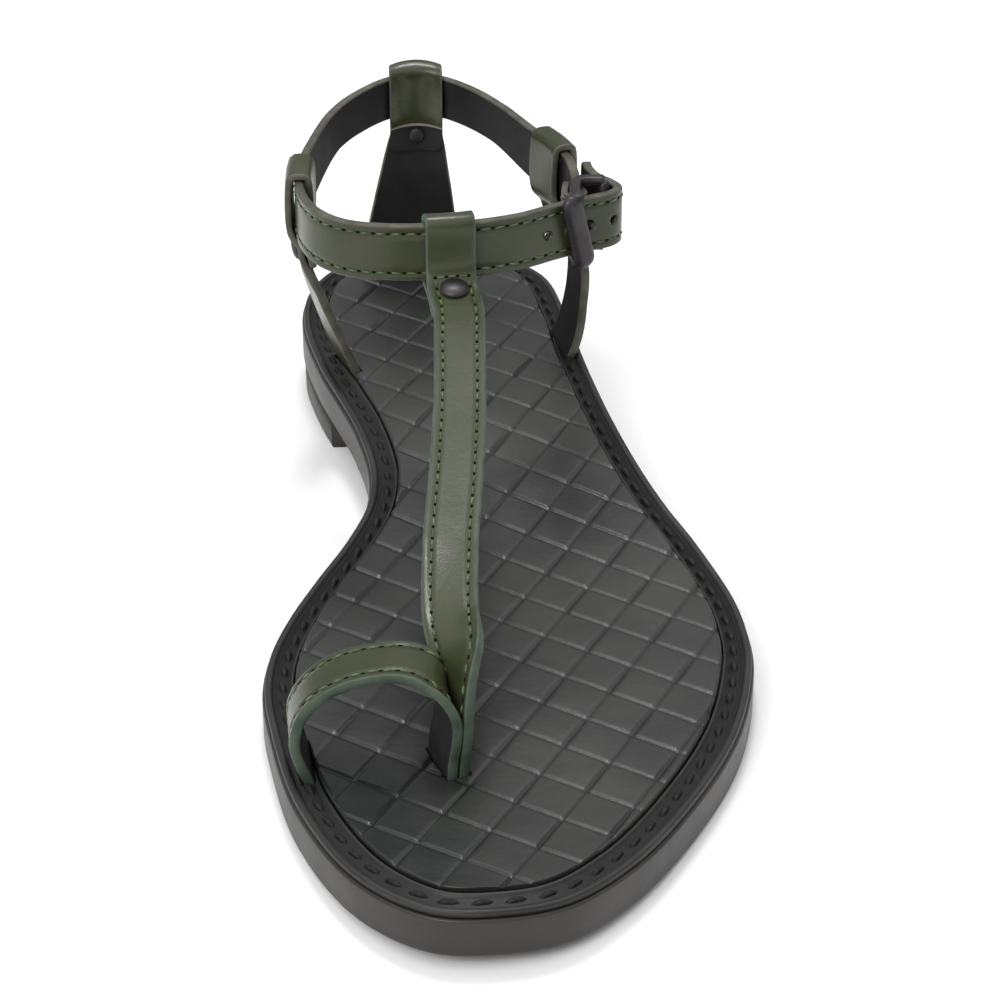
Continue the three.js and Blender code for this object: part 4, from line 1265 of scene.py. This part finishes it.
def punch_cutters(prong_start, prong_tip):
    """Rods for the holes of the ankle strap and the prong's way through it."""
    shares = np.linspace(0, 1, 600)
    lengths = arc_lengths(ANKLE_PATH.at(shares))
    at_prong = np.interp(PRONG_ROW / (len(ANKLE_TABLE) - 1), shares, lengths)
    cutters = []
    for count in OPEN_HOLES:
        share = np.interp(at_prong + count * HOLE_PITCH, lengths, shares)
        at = ANKLE_PATH.at(share)
        out = np.cross(UP, ANKLE_PATH.tangent(share))
        start, end = at - out * STRAP_THICKNESS, at + out * STRAP_THICKNESS
        cutters.append(rod(start, end, HOLE_SIZE / 2, sides=16))
    room = 0.3 * (prong_tip - prong_start)
    cutters.append(rod(prong_start - room, prong_tip + room, PRONG_WIDTH / 2 + GAP, sides=16))
    return [make_piece("cutter", points, faces, [METAL]) for points, faces in cutters]


def foot_cutter(strap):
    """A block round the foot of a strap, the gap wider than it."""
    start = Strap(strap.rows[:3])
    shares = np.linspace(0, 1, 12)
    place = start.place(shares)
    half = place["half"] + GAP
    depth = place["depth"] + GAP
    steps = np.linspace(-1, 1, 9)
    ring = [start.on(shares, s * half, -depth) for s in steps]
    ring += [start.on(shares, s * half, depth) for s in reversed(steps)]
    points = np.stack(ring, axis=1).reshape(-1, 3)
    return make_piece("cutter", points, tube_faces(len(shares), len(ring)), [FOOTBED])


# The camera stands where the photograph's stood, turned towards the one sandal
CAMERA_PLACE = (-37.889, -487.243, 286.74)
CAMERA_ELEVATION = 28.796
CAMERA_AZIMUTH = 4.664
CAMERA_LENS = 101.25


def aimed(name, data, place, ahead):
    """An object at a place in metres that looks ahead."""
    thing = added(name, data)
    thing.location = place
    thing.rotation_mode = "QUATERNION"
    thing.rotation_quaternion = ahead.to_track_quat("-Z", "Y")
    return thing


def add_camera():
    data = bpy.data.cameras.new("camera")
    data.lens = CAMERA_LENS
    data.sensor_width = 36
    data.clip_start = 0.01
    data.clip_end = 100
    e, a = math.radians(CAMERA_ELEVATION), math.radians(CAMERA_AZIMUTH)
    ahead = Vector((math.sin(a) * math.cos(e), math.cos(a) * math.cos(e), -math.sin(e)))
    bpy.context.scene.camera = aimed("camera", data, Vector(CAMERA_PLACE) / 1000, ahead)


# Square lights that look at the sandal: place and side in metres, and power
LIGHTS = {
    "ceiling": ((0, 0, 2.5), 6, 98),
    "overhead": ((0.05, 0.7, 2.1), 0.42, 15),
    "front": ((-0.9, -1.2, 1.1), 1.0, 17),
}
WORLD_STRENGTH = 0.35
FLOOR_HALF = 6


def add_studio():
    bpy.context.scene.view_settings.view_transform = "Standard"
    world = bpy.data.worlds.new("studio")
    bpy.context.scene.world = world
    world.use_nodes = True
    fill(world.node_tree.nodes["Background"], {"Color": (1, 1, 1, 1), "Strength": WORLD_STRENGTH})
    for name, (place, size, power) in LIGHTS.items():
        data = bpy.data.lights.new(name, "AREA")
        data.size = size
        data.energy = power
        aimed(name, data, place, -Vector(place))

    mesh = bpy.data.meshes.new("floor")
    corners = [(x * FLOOR_HALF, y * FLOOR_HALF, 0) for x, y in ((-1, -1), (1, -1), (1, 1), (-1, 1))]
    mesh.from_pydata(corners, [], [(0, 1, 2, 3)])
    mesh.materials.append(material("floor", (0.9, 0.9, 0.9), 0.8))
    floor = added("floor", mesh)


def build():
    tee, front_rivet = tee_strap()
    toe = toe_strap()
    ankle = ankle_strap()
    inner, inner_rivet = side_strap(
        INNER_LOOP_ROW,
        seam("inner", INNER_SEAM, WELT_WIDTH + STRAP_THICKNESS, sideways(-1, -20)),
        INNER_LEAN,
        [(0.35, 0.05, sideways(-1, -19)), (0.75, 0.07, sideways(-1, -15))],
    )
    outer, outer_rivet = side_strap(
        OUTER_LOOP_ROW,
        seam("outer", OUTER_SEAM, WELT_WIDTH, sideways(1, 20)),
        OUTER_LEAN,
        [(0.17, 0.26, sideways(1, 14)), (0.43, 0.38, sideways(1, 9)), (0.72, 0.34, sideways(1, 9))],
    )
    heel_base = counter_base()
    counter, heel_rivet = side_strap(
        HEEL_LOOP_ROW,
        heel_base,
        HEEL_LEAN,
        [(0.35, 0.02, heel_base[1]), (0.75, 0.01, heel_base[1])],
        width=lambda share: lerp(COUNTER_WIDTH, STRAP_WIDTH, min(1, share) ** COUNTER_FLARE),
        cup=lambda share: COUNTER_CUP * (1 - share),
        rise=COUNTER_RISE,
    )
    straps = {
        "t_strap": tee,
        "toe_strap": toe,
        "ankle_strap": ankle,
        "inner_strap": inner,
        "outer_strap": outer,
        "heel_counter": counter,
    }

    outsole_piece()
    heel_piece()
    welt = welt_piece()
    bed = footbed_piece()
    toe_back = Strap(list(reversed(toe.rows)))
    feet = [tee, toe_back, toe, inner, outer, counter]
    cut(welt, [foot_cutter(strap) for strap in feet[2:]])
    cut(bed, [foot_cutter(strap) for strap in feet])
    welt_stitches()

    prong_start, prong_tip = buckle_pieces()
    cross = length_of_row(tee, TEE_CREASE_ROW)
    stitched = {
        "t_strap": (2, cross + 0.1, cross),
        "toe_strap": (2, toe.length - 2, 0),
        "ankle_strap": (3, ankle.length - 2, 0),
    }
    paints = {"t_strap": GREEN_PAINT, "toe_strap": GREEN_PAINT}
    for name, strap in straps.items():
        flap = strap.length - FLAP_LENGTH + 2 if name == "heel_counter" else None
        paint = paints.get(name, OLIVE_PAINT)
        round_end = name != "toe_strap"
        piece = strap_piece(f"{name}_leather", strap, name, round_end, paint, stitched.get(name), flap)
        if name == "ankle_strap":
            cut(piece, punch_cutters(prong_start, prong_tip))
        if name in stitched:
            strap_stitches(name, strap, stitched[name], cross=name == "t_strap")
    rivets = {"front": front_rivet, "inner": inner_rivet, "outer": outer_rivet, "heel": heel_rivet}
    for name, place in rivets.items():
        rivet_piece(f"{name}_rivet", place, f"rivet_{name}", DULL_METAL if name == "heel" else METAL)


build()
add_camera()
add_studio()
